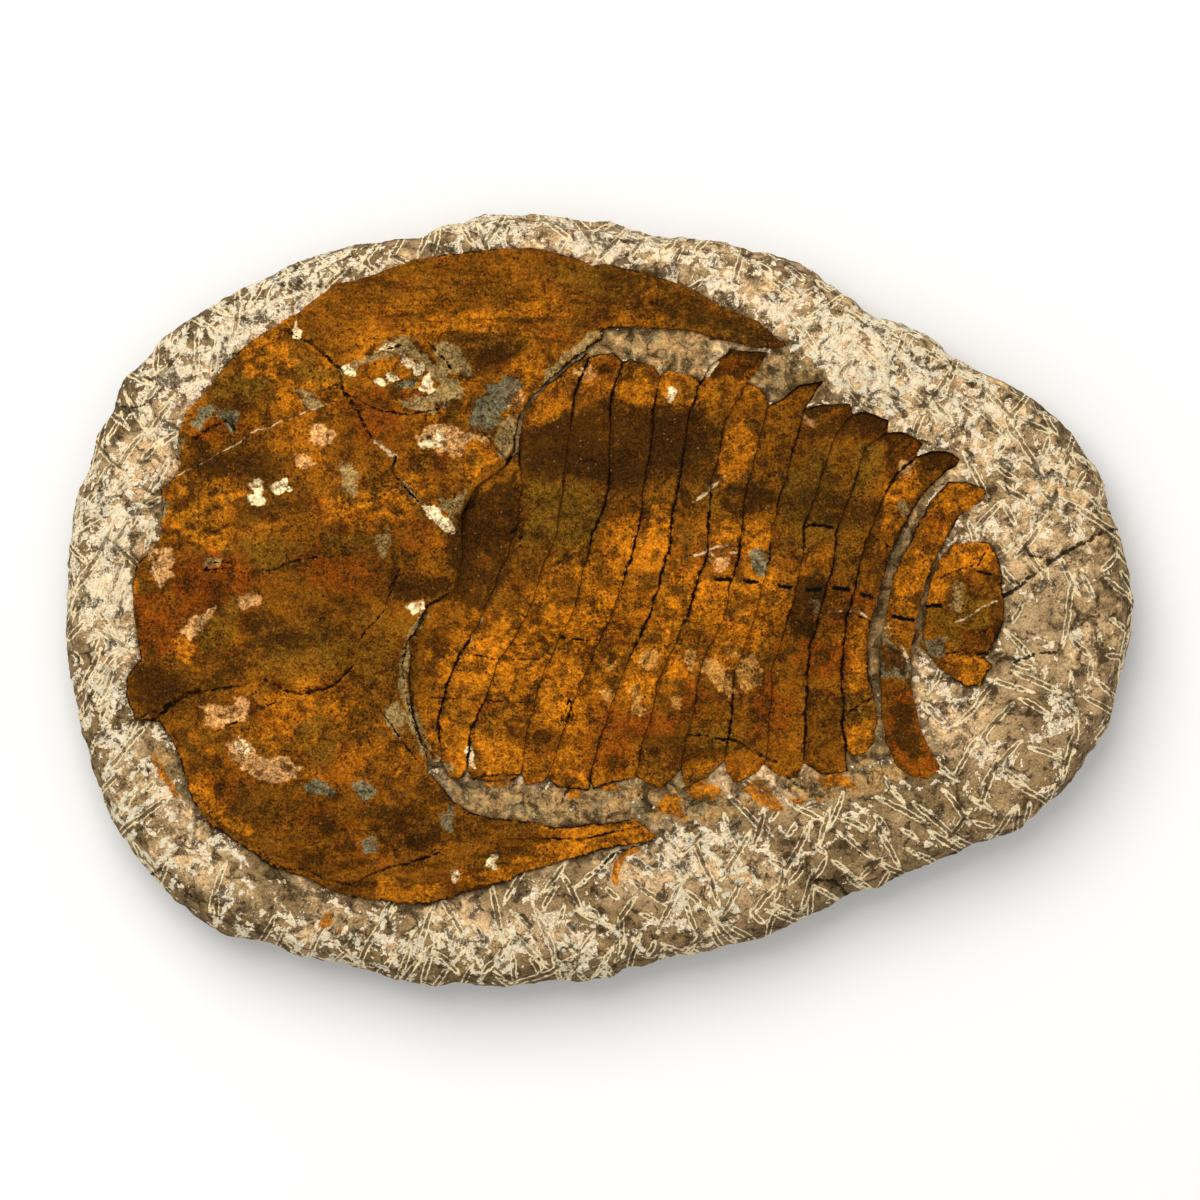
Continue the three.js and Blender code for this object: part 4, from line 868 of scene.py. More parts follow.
def cut_sheet(low, high, step, inside_at):
    """A flat sheet of small squares, cut off where inside_at falls below zero.

    Gives the points and the faces, grouped by their number of corners.
    """
    xs = np.arange(low[0] - step, high[0] + 2 * step, step)
    ys = np.arange(low[1] - step, high[1] + 2 * step, step)
    x, y = np.meshgrid(xs, ys)
    f = inside_at(x, y)
    f[[0, -1], :] = -1
    f[:, [0, -1]] = -1
    corner = f > 0
    index = np.full(f.shape, -1)
    index[corner] = np.arange(corner.sum())
    points = [np.stack([x[corner], y[corner]], axis=1)]
    count = int(corner.sum())

    def crossings(axis):
        nonlocal count
        a = f[:, :-1] if axis == 1 else f[:-1, :]
        b = f[:, 1:] if axis == 1 else f[1:, :]
        cut = (a > 0) != (b > 0)
        t = np.clip(a[cut] / (a[cut] - b[cut]), 0.1, 0.9)[:, None]
        jj, ii = np.nonzero(cut)
        start = np.stack([xs[ii], ys[jj]], axis=1)
        along = np.array([step, 0.0]) if axis == 1 else np.array([0.0, step])
        points.append(start + t * along)
        numbers = np.full(cut.shape, -1)
        numbers[cut] = count + np.arange(cut.sum())
        count += int(cut.sum())
        return numbers

    across = crossings(1)
    up = crossings(0)
    cell = np.stack([
        index[:-1, :-1], index[:-1, 1:], index[1:, 1:], index[1:, :-1],
        across[:-1, :], up[:, 1:], across[1:, :], up[:, :-1],
    ], axis=-1)
    code = (corner[:-1, :-1] * 1 + corner[:-1, 1:] * 2 + corner[1:, 1:] * 4 + corner[1:, :-1] * 8)
    groups = {3: [], 4: [], 5: []}
    for number, shapes in CELL_FACES.items():
        cells = cell[code == number]
        for shape in shapes:
            groups[len(shape)].append(cells[:, shape])
    faces = [np.vstack(g) for g in groups.values() if g]
    return largest_part(np.vstack(points), faces)


def largest_part(points, faces):
    """Drops crumbs: keeps only the largest connected part of a sheet."""
    label = np.arange(len(points))
    edges = np.vstack([np.stack([g, np.roll(g, -1, axis=1)], axis=-1).reshape(-1, 2) for g in faces])
    while True:
        low = np.minimum(label[edges[:, 0]], label[edges[:, 1]])
        new = label.copy()
        np.minimum.at(new, label[edges[:, 0]], low)
        np.minimum.at(new, label[edges[:, 1]], low)
        new = new[new]
        if (new == label).all():
            break
        label = new
    used = label[edges[:, 0]]
    main = np.bincount(used).argmax()
    keep = np.zeros(len(points), bool)
    keep[np.unique(edges)] = True
    keep &= label == main
    number = np.cumsum(keep) - 1
    faces = [number[g[label[g[:, 0]] == main]] for g in faces]
    return points[keep], faces


def signed_area(loop):
    x, y = loop[:, 0], loop[:, 1]
    return 0.5 * (x * np.roll(y, -1) - y * np.roll(x, -1)).sum()


def filled(points, loop, upwards):
    """Triangles that fill a flat loop of point numbers, facing up or down."""
    outline = [Vector((*points[i][:2], 0)) for i in loop]
    tris = loop[np.array(tessellate_polygon([outline]), int)]
    a, b, c = (points[tris[:, k]][:, :2] for k in range(3))
    turn = (b[:, 0] - a[:, 0]) * (c[:, 1] - a[:, 1]) - (b[:, 1] - a[:, 1]) * (c[:, 0] - a[:, 0])
    wrong = (turn < 0) == upwards
    tris[wrong] = tris[wrong][:, ::-1]
    return tris


def mesh_from(name, points, faces, smooth, fields):
    """A mesh object from points in millimetres, faces by corner count, and named point values."""
    mesh = bpy.data.meshes.new(name)
    corners = np.concatenate([g.reshape(-1) for g in faces])
    sizes = np.concatenate([np.full(len(g), g.shape[1]) for g in faces])
    mesh.vertices.add(len(points))
    mesh.vertices.foreach_set("co", (points * MM).astype(np.float32).reshape(-1))
    mesh.loops.add(len(corners))
    mesh.loops.foreach_set("vertex_index", corners.astype(np.int32))
    mesh.polygons.add(len(sizes))
    mesh.polygons.foreach_set("loop_start", (np.cumsum(sizes) - sizes).astype(np.int32))
    mesh.polygons.foreach_set("use_smooth", smooth)
    mesh.update(calc_edges=True)
    if mesh.validate():
        raise RuntimeError(f"the mesh of {name} had faults")
    for field, values in fields.items():
        mesh.attributes.new(field, "FLOAT", "POINT").data.foreach_set("value", values.astype(np.float32))
    piece = bpy.data.objects.new(name, mesh)
    bpy.context.scene.collection.objects.link(piece)
    return piece


# The shell

def flaking(x, y):
    """How far the shell's thin layers have flaked off, lowest where most are gone."""
    return grain(x + 1.5 * grain(x, y, 6, 92, 3), y, 12.0, 91, 5)


def shell_relief(x, y, ripple):
    """Fine relief of the shell: folds, cracks, pits of missing shell and small ripples."""
    z = ripple * (2.6 * grain(x, y, 5.5, 3, 4) + 1.6 * grain(x, y, 1.3, 5, 2))
    z += 1.5 * ripple * creases(x, y, 9.0, 6)
    for height, half, line in SHELL_FOLDS:
        d = line_distance(x, y, place(line), 3 * half)
        z += height * np.exp(-(d / half) ** 2)
    z += 0.13 * sum(step_up(low - 0.02, low + 0.02, flaking(x, y)) for low in FLAKE_LEVELS)
    for _, width, depth, line in SHELL_CRACKS:
        wx, wy = warped(x, y)
        d = line_distance(wx, wy, place(line), 3)
        z -= depth * np.exp(-(d / (0.8 * width)) ** 2)
    for line in AXIS_SLOTS:
        d = line_distance(x, y, place(line), 3)
        z -= 0.9 * np.exp(-(d / 0.55) ** 2)
    return z


def shell_fields(x, y, rim):
    """Point values that the shell's material reads."""
    fields = {}
    sx, sy = ragged(x, y, 3.6)
    fields["streak"] = zone_share(sx, sy, STREAK_ZONES)
    cover = {name: np.zeros(x.shape) for name in PIGMENTS}
    for n, (name, zones) in enumerate(SHELL_STAINS.items()):
        cover[name] = zone_share(sx, sy, zones, STAIN_SOFTNESS[name], 0.45, 41 + n)
    sx, sy = ragged(x, y, 1.8)
    broken = np.clip(0.88 + 0.8 * grain(x, y, 3.2, 38, 4), 0.3, 1)
    for name, strength, softness, outline in SHELL_PATCHES:
        patch = patch_share(sx, sy, outline, 0.3 + 1.3 * softness, 1.1 + 0.5 * softness)
        if patch.any():
            patch *= strength * broken
            for other in PIGMENTS:
                cover[other] *= 1 - patch
            cover[name] += patch
    fields.update({"stain_" + name: share_of for name, share_of in cover.items()})
    wx, wy = warped(x, y)
    for filling in ("dark", "cream"):
        reach = np.full(x.shape, 3.0)
        for kind, width, _, line in SHELL_CRACKS:
            if kind == filling:
                reach = np.minimum(reach, line_distance(wx, wy, place(line), 3) / width)
        fields["crack_" + filling] = reach
    slots = np.full(x.shape, 3.0)
    for line in AXIS_SLOTS:
        slots = np.minimum(slots, line_distance(x, y, place(line), 3))
    fields["slot"] = slots
    fields["flaking"] = flaking(x, y)
    fields["seam"] = np.clip(rim, 0, 4)
    fields["seam_strength"] = seam_strength(x, y)
    return fields


def seam_strength(x, y):
    """How open a seam is: it closes and opens along its way."""
    return 0.12 + 1.9 * step_up(-0.2, 0.35, grain(x, y, 16, 95, 3))


def segment_profile(x, y, loop, rim, depth):
    """A segment's roof-tile rise from front edge to back edge, and each point's way across it."""
    cx = loop[:, 0]
    y_levels = np.linspace(loop[:, 1].min(), loop[:, 1].max(), 90)
    front, back = np.full(90, np.nan), np.full(90, np.nan)
    for (ax, ay), (bx, by) in zip(loop, np.roll(loop, -1, axis=0)):
        low, high = sorted((ay, by))
        hit = (y_levels >= low) & (y_levels <= high) & (abs(by - ay) > 1e-9)
        if hit.any():
            at = ax + (y_levels[hit] - ay) * (bx - ax) / (by - ay)
            front[hit] = np.fmin(front[hit], at)
            back[hit] = np.fmax(back[hit], at)
    front = np.interp(y, y_levels, np.where(np.isnan(front), cx.min(), front))
    back = np.interp(y, y_levels, np.where(np.isnan(back), cx.max(), back))
    t = np.clip((x - front) / np.maximum(back - front, 1), 0, 1)
    rise = -0.3 * (1 - step_up(0, 0.22, t)) + 0.25 * step_up(0.2, 0.85, t)
    return rise - depth * seam_strength(x, y) * np.exp(-(np.clip(rim, 0, None) / 0.4) ** 2), t


def build_shell(node, height_map, settings, material, profiled=False):
    """One piece of the shell, in place of its solid."""
    loop = footprint(node)
    step = settings.mesh_step / MM
    depth = settings.seam_depth / MM
    ripple = settings.ripple / MM

    def rim_at(x, y):
        return edge_distance(*warped(x, y), loop) + 0.2

    flat, faces = cut_sheet(loop.min(0) - 1, loop.max(0) + 1, step, rim_at)
    x, y = flat[:, 0], flat[:, 1]
    rim = rim_at(x, y)
    z = height_map(x, y) + shell_relief(x, y, ripple)
    fields = shell_fields(x, y, rim)
    fields["across"] = np.full(x.shape, 0.5)
    fields["tone"] = grain(x, y, 15, 96, 4)
    if profiled:
        rise, fields["across"] = segment_profile(x, y, loop, rim, depth)
        fields["tone"] = grain(40 * SEGMENT_NODES.index(node) + 0.3 * x, y, 12, 97, 4)
        z += rise
    else:
        z -= 0.8 * depth * np.exp(-(np.clip(rim, 0, None) / 0.45) ** 2)
    hollow = fields["stain_grey"] + fields["stain_pink"] + fields["stain_slate"]
    z -= 0.22 * step_up(0.35, 0.6, hollow)
    rocky = np.clip(hollow + fields["stain_cream"], 0, 1)
    z += rocky * (0.55 * grain(x, y, 1.7, 7, 3) + 0.3 * (creases(x, y, 2.6, 8) - 0.4))
    tops = np.column_stack([x, y, z])
    edges = open_edges(faces, len(tops))
    count = len(tops)
    ring = np.unique(edges)
    low_number = np.full(count, -1)
    low_number[ring] = count + np.arange(len(ring))
    feet = np.column_stack([x[ring], y[ring], np.full(len(ring), PIECE_FOOT)])
    points = np.vstack([tops, feet])
    a, b = edges[:, 0], edges[:, 1]
    walls = np.stack([b, a, low_number[a], low_number[b]], axis=1)
    base = []
    for outline in chain(a.tolist(), b.tolist()):
        base.append(filled(points, low_number[outline], upwards=False))
    groups = [*faces, walls, *base]
    smooth = np.concatenate([
        np.full(sum(len(g) for g in faces), True),
        np.full(len(walls) + sum(len(g) for g in base), False),
    ])
    fields = {k: np.concatenate([v, v[ring]]) for k, v in fields.items()}
    name = PIECE_NAMES.get(node, node.replace("thorax_", "") + "_shell")
    piece = mesh_from(name, points, groups, smooth, fields)
    piece.data.materials.append(material)
    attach(piece, "root")
    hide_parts(node)
    return piece


# The stone plate

class RimProfile:
    """The plate's broken sides, as radius by angle and height."""

    heights = (0.05, 1.5, 3.2, 5.5, 8.0, 10.5, 13.5, 16.5, 19.0, 21.5, 23.5, RIM_HEIGHT)
    spokes = 720

    def __init__(self):
        points, triangles = solid_of([PLATE_NODE])
        tree = BVHTree.FromPolygons(points.tolist(), triangles.tolist())
        self.radii = np.zeros((len(self.heights), self.spokes + 1))
        for k, z in enumerate(self.heights):
            for s in range(self.spokes):
                a = 2 * math.pi * s / self.spokes
                out = Vector((math.cos(a), math.sin(a), 0))
                hit = tree.ray_cast(out * 260 + Vector((0, 0, z)), -out)[0]
                self.radii[k, s] = math.hypot(hit.x, hit.y)
        self.radii[:, -1] = self.radii[:, 0]

    def __call__(self, angle, z):
        u = (angle / (2 * math.pi)) % 1 * self.spokes
        iu = np.minimum(np.floor(u).astype(int), self.spokes - 1)
        v = np.interp(z, self.heights, np.arange(len(self.heights)))
        iv = np.minimum(np.floor(v).astype(int), len(self.heights) - 2)
        fu, fv = u - iu, v - iv
        low = self.radii[iv, iu] * (1 - fu) + self.radii[iv, iu + 1] * fu
        high = self.radii[iv + 1, iu] * (1 - fu) + self.radii[iv + 1, iu + 1] * fu
        return low * (1 - fv) + high * fv


def stone_fields(x, y, bed):
    """Point values that the stone's material and its chisel marks read."""
    tan = np.zeros(x.shape)
    for n, outline in enumerate(TAN_PATCHES):
        tan = np.maximum(tan, patch_share(x, y, outline, 1.4, 1.2, 61 + n))
    chip = np.zeros(x.shape)
    for outline in SHELL_CHIPS:
        chip = np.maximum(chip, patch_share(x, y, outline, 0.3, 0.35, 83))
    crack = np.full(x.shape, 3.0)
    wx, wy = warped(x, y)
    for width, _, line in STONE_CRACKS:
        crack = np.minimum(crack, line_distance(wx, wy, place(line), 3) / width)
    clear = step_up(0.8, 2.4, -bed) * (1 - tan)
    return {
        "bruise": zone_share(x, y, BRUISE_ZONES, 1.0, 0.5, 71) * (1 - tan),
        "shade": zone_share(x, y, SHADE_ZONES, 1.0, 0.4, 72),
        "tan": tan,
        "chip": chip,
        "crack": crack,
        "bed": np.clip(-bed, 0, 6),
        "stroke_share": (0.25 + 0.75 * zone_share(x, y, STROKE_ZONES, 0.8, 0.2, 73)) * clear,
        "peck_share": zone_share(x, y, PECK_ZONES, 0.8, 0.5, 74) * clear,
    }


def build_plate(settings, material):
    """The stone plate: dressed face, broken sides, flat underside and the bed for the fossil."""
    step = settings.mesh_step / MM
    rough = settings.roughness_height / MM
    rim = RimProfile()
    top = HeightMap([PLATE_NODE], 1.3)
    filled_top = HeightMap([PLATE_NODE, *HEAD_NODES, *SEGMENT_NODES, *TAIL_NODES], 1.3)
    outlines = [footprint(n) for n in (*HEAD_NODES, *SEGMENT_NODES, *TAIL_NODES)]

    def bed_at(x, y):
        wx, wy = warped(x, y)
        nearest = np.full(x.shape, -8.0)
        for loop in outlines:
            low, high = loop.min(0) - 8, loop.max(0) + 8
            near = (wx > low[0]) & (wx < high[0]) & (wy > low[1]) & (wy < high[1])
            nearest[near] = np.maximum(nearest[near], edge_distance(wx[near], wy[near], loop))
        return nearest + 0.17

    def ragged_rim(x, y):
        return 0.8 * grain(x, y, 6, 21, 4)

    def inside_at(x, y):
        angle = np.arctan2(y, x)
        edge = rim(angle, np.full(x.shape, RIM_HEIGHT)) - np.hypot(x, y) + ragged_rim(x, y)
        return np.minimum(edge, -bed_at(x, y))

    low, high = np.array(CAD_BOX[0])[:2] / MM, np.array(CAD_BOX[1])[:2] / MM
    flat, faces = cut_sheet(low, high, step, inside_at)
    x, y = flat[:, 0], flat[:, 1]
    bed = bed_at(x, y)
    fields = stone_fields(x, y, bed)
    fields["rim"] = np.clip(inside_at(x, y), 0, 15)
    calm = 1 - 0.35 * fields["tan"]
    z = np.maximum(top(x, y), filled_top(x, y) - 1.1)
    z += calm * rough * (2.2 * grain(x, y, 7, 22, 3) + 1.5 * grain(x, y, 1.8, 23, 3))
    z += calm * (0.25 + 0.95 * fields["bruise"]) * (creases(x, y, 4.2, 24) - 0.5)
    z += 0.5 * fields["chip"] - 0.25 * np.exp(-(np.clip(-bed, 0, None) / 0.5) ** 2)
    for width, depth, line in STONE_CRACKS:
        z -= depth * np.exp(-(line_distance(*warped(x, y), place(line), 3) / width) ** 2)
    tops = np.column_stack([x, y, z])
    count = len(tops)
    edges = open_edges(faces, count)
    loops = sorted(chain(edges[:, 0].tolist(), edges[:, 1].tolist()), key=lambda q: -signed_area(flat[q]))
    outer, beds = loops[0], loops[1:]

    points, groups = [tops], []
    source = [np.arange(count)]
    side = [np.zeros(count)]
    ring = outer
    next_number = count
    angle = np.arctan2(y[outer], x[outer])
    start_r = np.hypot(x[outer], y[outer])
    start_z = z[outer]
    rim_r = rim(angle, np.full(len(outer), RIM_HEIGHT))
    drops = (0.03, 0.07, 0.12, 0.18, 0.25, 0.33, 0.42, 0.54, 0.68, 0.84, 1.0)
    around = angle * 100
    for drop in drops:
        level = start_z * (1 - drop)
        wall = rim(angle, np.minimum(level, RIM_HEIGHT)) + (start_r - rim_r) * (1 - drop)
        dent = grain(around, level, 7.0, 25, 4) + 0.5 * grain(around, level, 2.2, 26, 3)
        wall = wall + 0.85 * dent * math.sin(math.pi * min(1, drop * 1.02)) ** 0.5
        points.append(np.column_stack([wall * np.cos(angle), wall * np.sin(angle), level]))
        lower = next_number + np.arange(len(outer))
        next_number += len(outer)
        a, b = ring, np.roll(ring, -1)
        la, lb = lower, np.roll(lower, -1)
        groups.append(np.stack([b, a, la, lb], axis=1))
        source.append(outer)
        side.append(np.full(len(outer), step_up(0.3, 0.5, drop)))
        ring = lower
    everything = np.vstack(points)
    groups.append(filled(everything, ring, upwards=False))
    for inner in beds:
        floor = np.column_stack([x[inner], y[inner], np.full(len(inner), BED_HEIGHT)])
        points.append(floor)
        lower = next_number + np.arange(len(inner))
        next_number += len(inner)
        a, b = inner, np.roll(inner, -1)
        groups.append(np.stack([b, a, lower, np.roll(lower, -1)], axis=1))
        source.append(inner)
        side.append(np.full(len(inner), 1.0))
        everything = np.vstack(points)
        groups.append(filled(everything, lower, upwards=True))
    points = np.vstack(points)
    source = np.concatenate(source)
    fields = {k: v[source] for k, v in fields.items()}
    fields["side"] = np.concatenate(side)
    for key in ("stroke_share", "peck_share"):
        fields[key] = np.where(fields["side"] > 0, 0, fields[key])
    face_top = [np.full(len(g), True) for g in faces]
    face_side = [np.full(len(g), g.shape[1] == 4 and n < len(drops)) for n, g in enumerate(groups)]
    piece = mesh_from(
        "stone_plate", points, [*faces, *groups], np.concatenate([*face_top, *face_side]), fields
    )
    carve_marks(piece, settings, material)
    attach(piece, "root")
    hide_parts(PLATE_NODE)
    return piece


# Node trees

class Web:
    """Adds nodes to one tree and links them up."""

    def __init__(self, tree):
        self.tree = tree

    def add(self, kind, inputs=None, **settings):
        node = self.tree.nodes.new(kind)
        for key, value in settings.items():
            setattr(node, key, value)
        for key, value in (inputs or {}).items():
            self.feed(node.inputs[key], value)
        return node

    def feed(self, socket, value):
        if isinstance(value, bpy.types.NodeSocket):
            self.tree.links.new(value, socket)
        else:
            socket.default_value = value

    def math(self, operation, *values, clamp=False):
        kind = "ShaderNodeMath"
        return self.add(kind, dict(enumerate(values)), operation=operation, use_clamp=clamp).outputs[0]

    def plus(self, a, b):
        return self.math("ADD", a, b)

    def minus(self, a, b, clamp=False):
        return self.math("SUBTRACT", a, b, clamp=clamp)

    def times(self, a, b, clamp=False):
        return self.math("MULTIPLY", a, b, clamp=clamp)

    def times_plus(self, a, b, c, clamp=False):
        return self.math("MULTIPLY_ADD", a, b, c, clamp=clamp)

    def greater(self, a, b, clamp=False):
        return self.math("MAXIMUM", a, b, clamp=clamp)

    def ramp(self, value, low, high, to_low=0.0, to_high=1.0):
        inputs = {"Value": value, "From Min": low, "From Max": high, "To Min": to_low, "To Max": to_high}
        return self.add("ShaderNodeMapRange", inputs, interpolation_type="SMOOTHSTEP").outputs[0]

    def blend(self, factor, a, b):
        return self.add("ShaderNodeMix", {0: factor, 6: a, 7: b}, data_type="RGBA").outputs[2]

    def graded(self, colour, value):
        return self.add("ShaderNodeHueSaturation", {"Color": colour, "Value": value}).outputs[0]

    def field(self, name):
        return self.add("ShaderNodeAttribute", attribute_name=name).outputs["Fac"]

    def group(self, tree, inputs):
        kind = "GeometryNodeGroup" if tree.bl_idname == "GeometryNodeTree" else "ShaderNodeGroup"
        node = self.tree.nodes.new(kind)
        node.node_tree = tree
        for key, value in inputs.items():
            self.feed(node.inputs[key], value)
        return node


def new_group(name, kind, inputs, outputs):
    """An empty node group with its sockets, and its web, input node and output node."""
    tree = bpy.data.node_groups.new(name, kind)
    for direction, sockets in (("INPUT", inputs), ("OUTPUT", outputs)):
        for label, socket_type, value in sockets:
            socket = tree.interface.new_socket(label, in_out=direction, socket_type=socket_type)
            if value is not None:
                socket.default_value = value
    web = Web(tree)
    return tree, web, web.add("NodeGroupInput"), web.add("NodeGroupOutput")


FLOAT, COLOUR, VECTOR = "NodeSocketFloat", "NodeSocketColor", "NodeSocketVector"
GEOMETRY, WHOLE, TEXT, MATERIAL = (
    "NodeSocketGeometry", "NodeSocketInt", "NodeSocketString", "NodeSocketMaterial"
)


def mottle_group():
    """Cloudy noise with a contrast of its own."""
    tree, web, given, made = new_group(
        "Mottle", "ShaderNodeTree",
        [("Vector", VECTOR, None), ("Scale", FLOAT, 100.0), ("Detail", FLOAT, 4.0),
         ("Contrast", FLOAT, 2.0), ("Distortion", FLOAT, 0.0), ("Seed", FLOAT, 0.0)],
        [("Value", FLOAT, None)],
    )
    get = given.outputs
    sized = web.add("ShaderNodeVectorMath", {0: get["Vector"], "Scale": get["Scale"]}, operation="SCALE")
    shift = web.times(get["Seed"], 13.7)
    moved = web.add("ShaderNodeVectorMath", {0: sized.outputs[0], 1: shift}, operation="ADD")
    noise = web.add(
        "ShaderNodeTexNoise",
        {"Vector": moved.outputs[0], "Scale": 1.0, "Detail": get["Detail"], "Roughness": 0.62,
         "Distortion": get["Distortion"]},
    ).outputs[0]
    centred = web.minus(noise, 0.5)
    stretched = web.times_plus(centred, get["Contrast"], 0.5, clamp=True)
    web.feed(made.inputs["Value"], stretched)
    return tree


def speckle_group():
    """Scattered dots: a share of the cells of a cell texture."""
    tree, web, given, made = new_group(
        "Speckle", "ShaderNodeTree",
        [("Vector", VECTOR, None), ("Scale", FLOAT, 900.0), ("Amount", FLOAT, 0.15),
         ("Dot", FLOAT, 0.3)],
        [("Mask", FLOAT, None)],
    )
    get = given.outputs
    cells = web.add("ShaderNodeTexVoronoi", {"Vector": get["Vector"], "Scale": get["Scale"]})
    pick = web.add("ShaderNodeSeparateColor", {"Color": cells.outputs["Color"]}).outputs[0]
    chosen = web.math("LESS_THAN", pick, get["Amount"])
    size = web.times(get["Dot"], web.plus(0.5, pick))
    soft = web.times(get["Dot"], 0.5)
    edge = web.minus(web.plus(size, soft), cells.outputs["Distance"])
    dot = web.math("DIVIDE", edge, web.greater(soft, 0.001), clamp=True)
    web.feed(made.inputs["Mask"], web.times(chosen, dot))
    return tree


def hairline_group():
    """A broken net of fine cracks."""
    tree, web, given, made = new_group(
        "Hairlines", "ShaderNodeTree",
        [("Vector", VECTOR, None), ("Scale", FLOAT, 90.0), ("Width", FLOAT, 0.02),
         ("Presence", FLOAT, 0.5)],
        [("Mask", FLOAT, None)],
    )
    get = given.outputs
    bend = web.add(
        "ShaderNodeTexNoise", {"Vector": get["Vector"], "Scale": 420.0, "Detail": 4.0}
    ).outputs["Color"]
    push = web.add("ShaderNodeVectorMath", {0: bend, 1: (0.5, 0.5, 0.5)}, operation="SUBTRACT")
    scaled = web.add("ShaderNodeVectorMath", {0: push.outputs[0], "Scale": 0.004}, operation="SCALE")
    moved = web.add("ShaderNodeVectorMath", {0: get["Vector"], 1: scaled.outputs[0]}, operation="ADD")
    cells = web.add(
        "ShaderNodeTexVoronoi", {"Vector": moved.outputs[0], "Scale": get["Scale"]},
        feature="DISTANCE_TO_EDGE",
    ).outputs["Distance"]
    line = web.ramp(cells, get["Width"], 0.0)
    where = web.add(
        "ShaderNodeTexNoise", {"Vector": get["Vector"], "Scale": 160.0, "Detail": 2.0}
    ).outputs[0]
    shown = web.ramp(web.plus(where, get["Presence"]), 0.95, 1.1)
    web.feed(made.inputs["Mask"], web.times(line, shown))
    return tree


def stain_group():
    """Lays one pigment over another where its cover, roughened by noise, is high enough."""
    tree, web, given, made = new_group(
        "Stain", "ShaderNodeTree",
        [("Base", COLOUR, None), ("Pigment", COLOUR, None), ("Cover", FLOAT, 0.0),
         ("Noise", FLOAT, 0.5), ("Raggedness", FLOAT, 0.5), ("Sharpness", FLOAT, 0.5),
         ("Opacity", FLOAT, 1.0)],
        [("Color", COLOUR, None)],
    )
    get = given.outputs
    centred = web.minus(get["Noise"], 0.5)
    rough = web.times_plus(centred, get["Raggedness"], get["Cover"])
    half = web.times(web.minus(1.0, get["Sharpness"]), 0.5)
    low = web.minus(0.45, half)
    high = web.plus(web.plus(0.45, half), 0.03)
    mask = web.ramp(rough, low, high)
    present = web.times(mask, web.ramp(get["Cover"], 0.0, 0.12))
    opaque = web.times(present, get["Opacity"])
    web.feed(made.inputs["Color"], web.blend(opaque, get["Base"], get["Pigment"]))
    return tree


def shader_groups():
    makers = {"mottle": mottle_group, "speckle": speckle_group, "hairline": hairline_group,
              "stain": stain_group}
    names = {"mottle": "Mottle", "speckle": "Speckle", "hairline": "Hairlines", "stain": "Stain"}
    return {key: bpy.data.node_groups.get(names[key]) or make() for key, make in makers.items()}


def linear(colour):
    """A display colour as scene-linear red, green, blue and alpha."""
    values = [c / 12.92 if c <= 0.04045 else ((c + 0.055) / 1.055) ** 2.4 for c in colour]
    return (*values, 1.0)


def new_material(name):
    material = bpy.data.materials.new(name)
    material.use_nodes = True
    web = Web(material.node_tree)
    shader = material.node_tree.nodes["Principled BSDF"]
    where = web.add("ShaderNodeTexCoord").outputs["Object"]
    return material, web, shader, where


def textures(web, groups, where):
    """The three shared textures, each as a function that adds it to one material."""
    def mottle(scale, detail, contrast, seed, distortion=0.0):
        given = {"Vector": where, "Scale": scale, "Detail": detail, "Contrast": contrast,
                 "Seed": seed, "Distortion": distortion}
        return web.group(groups["mottle"], given).outputs[0]

    def speckle(scale, amount, dot):
        given = {"Vector": where, "Scale": scale, "Amount": amount, "Dot": dot}
        return web.group(groups["speckle"], given).outputs[0]

    def hairline(scale, width, presence):
        given = {"Vector": where, "Scale": scale, "Width": width, "Presence": presence}
        return web.group(groups["hairline"], given).outputs[0]

    return mottle, speckle, hairline


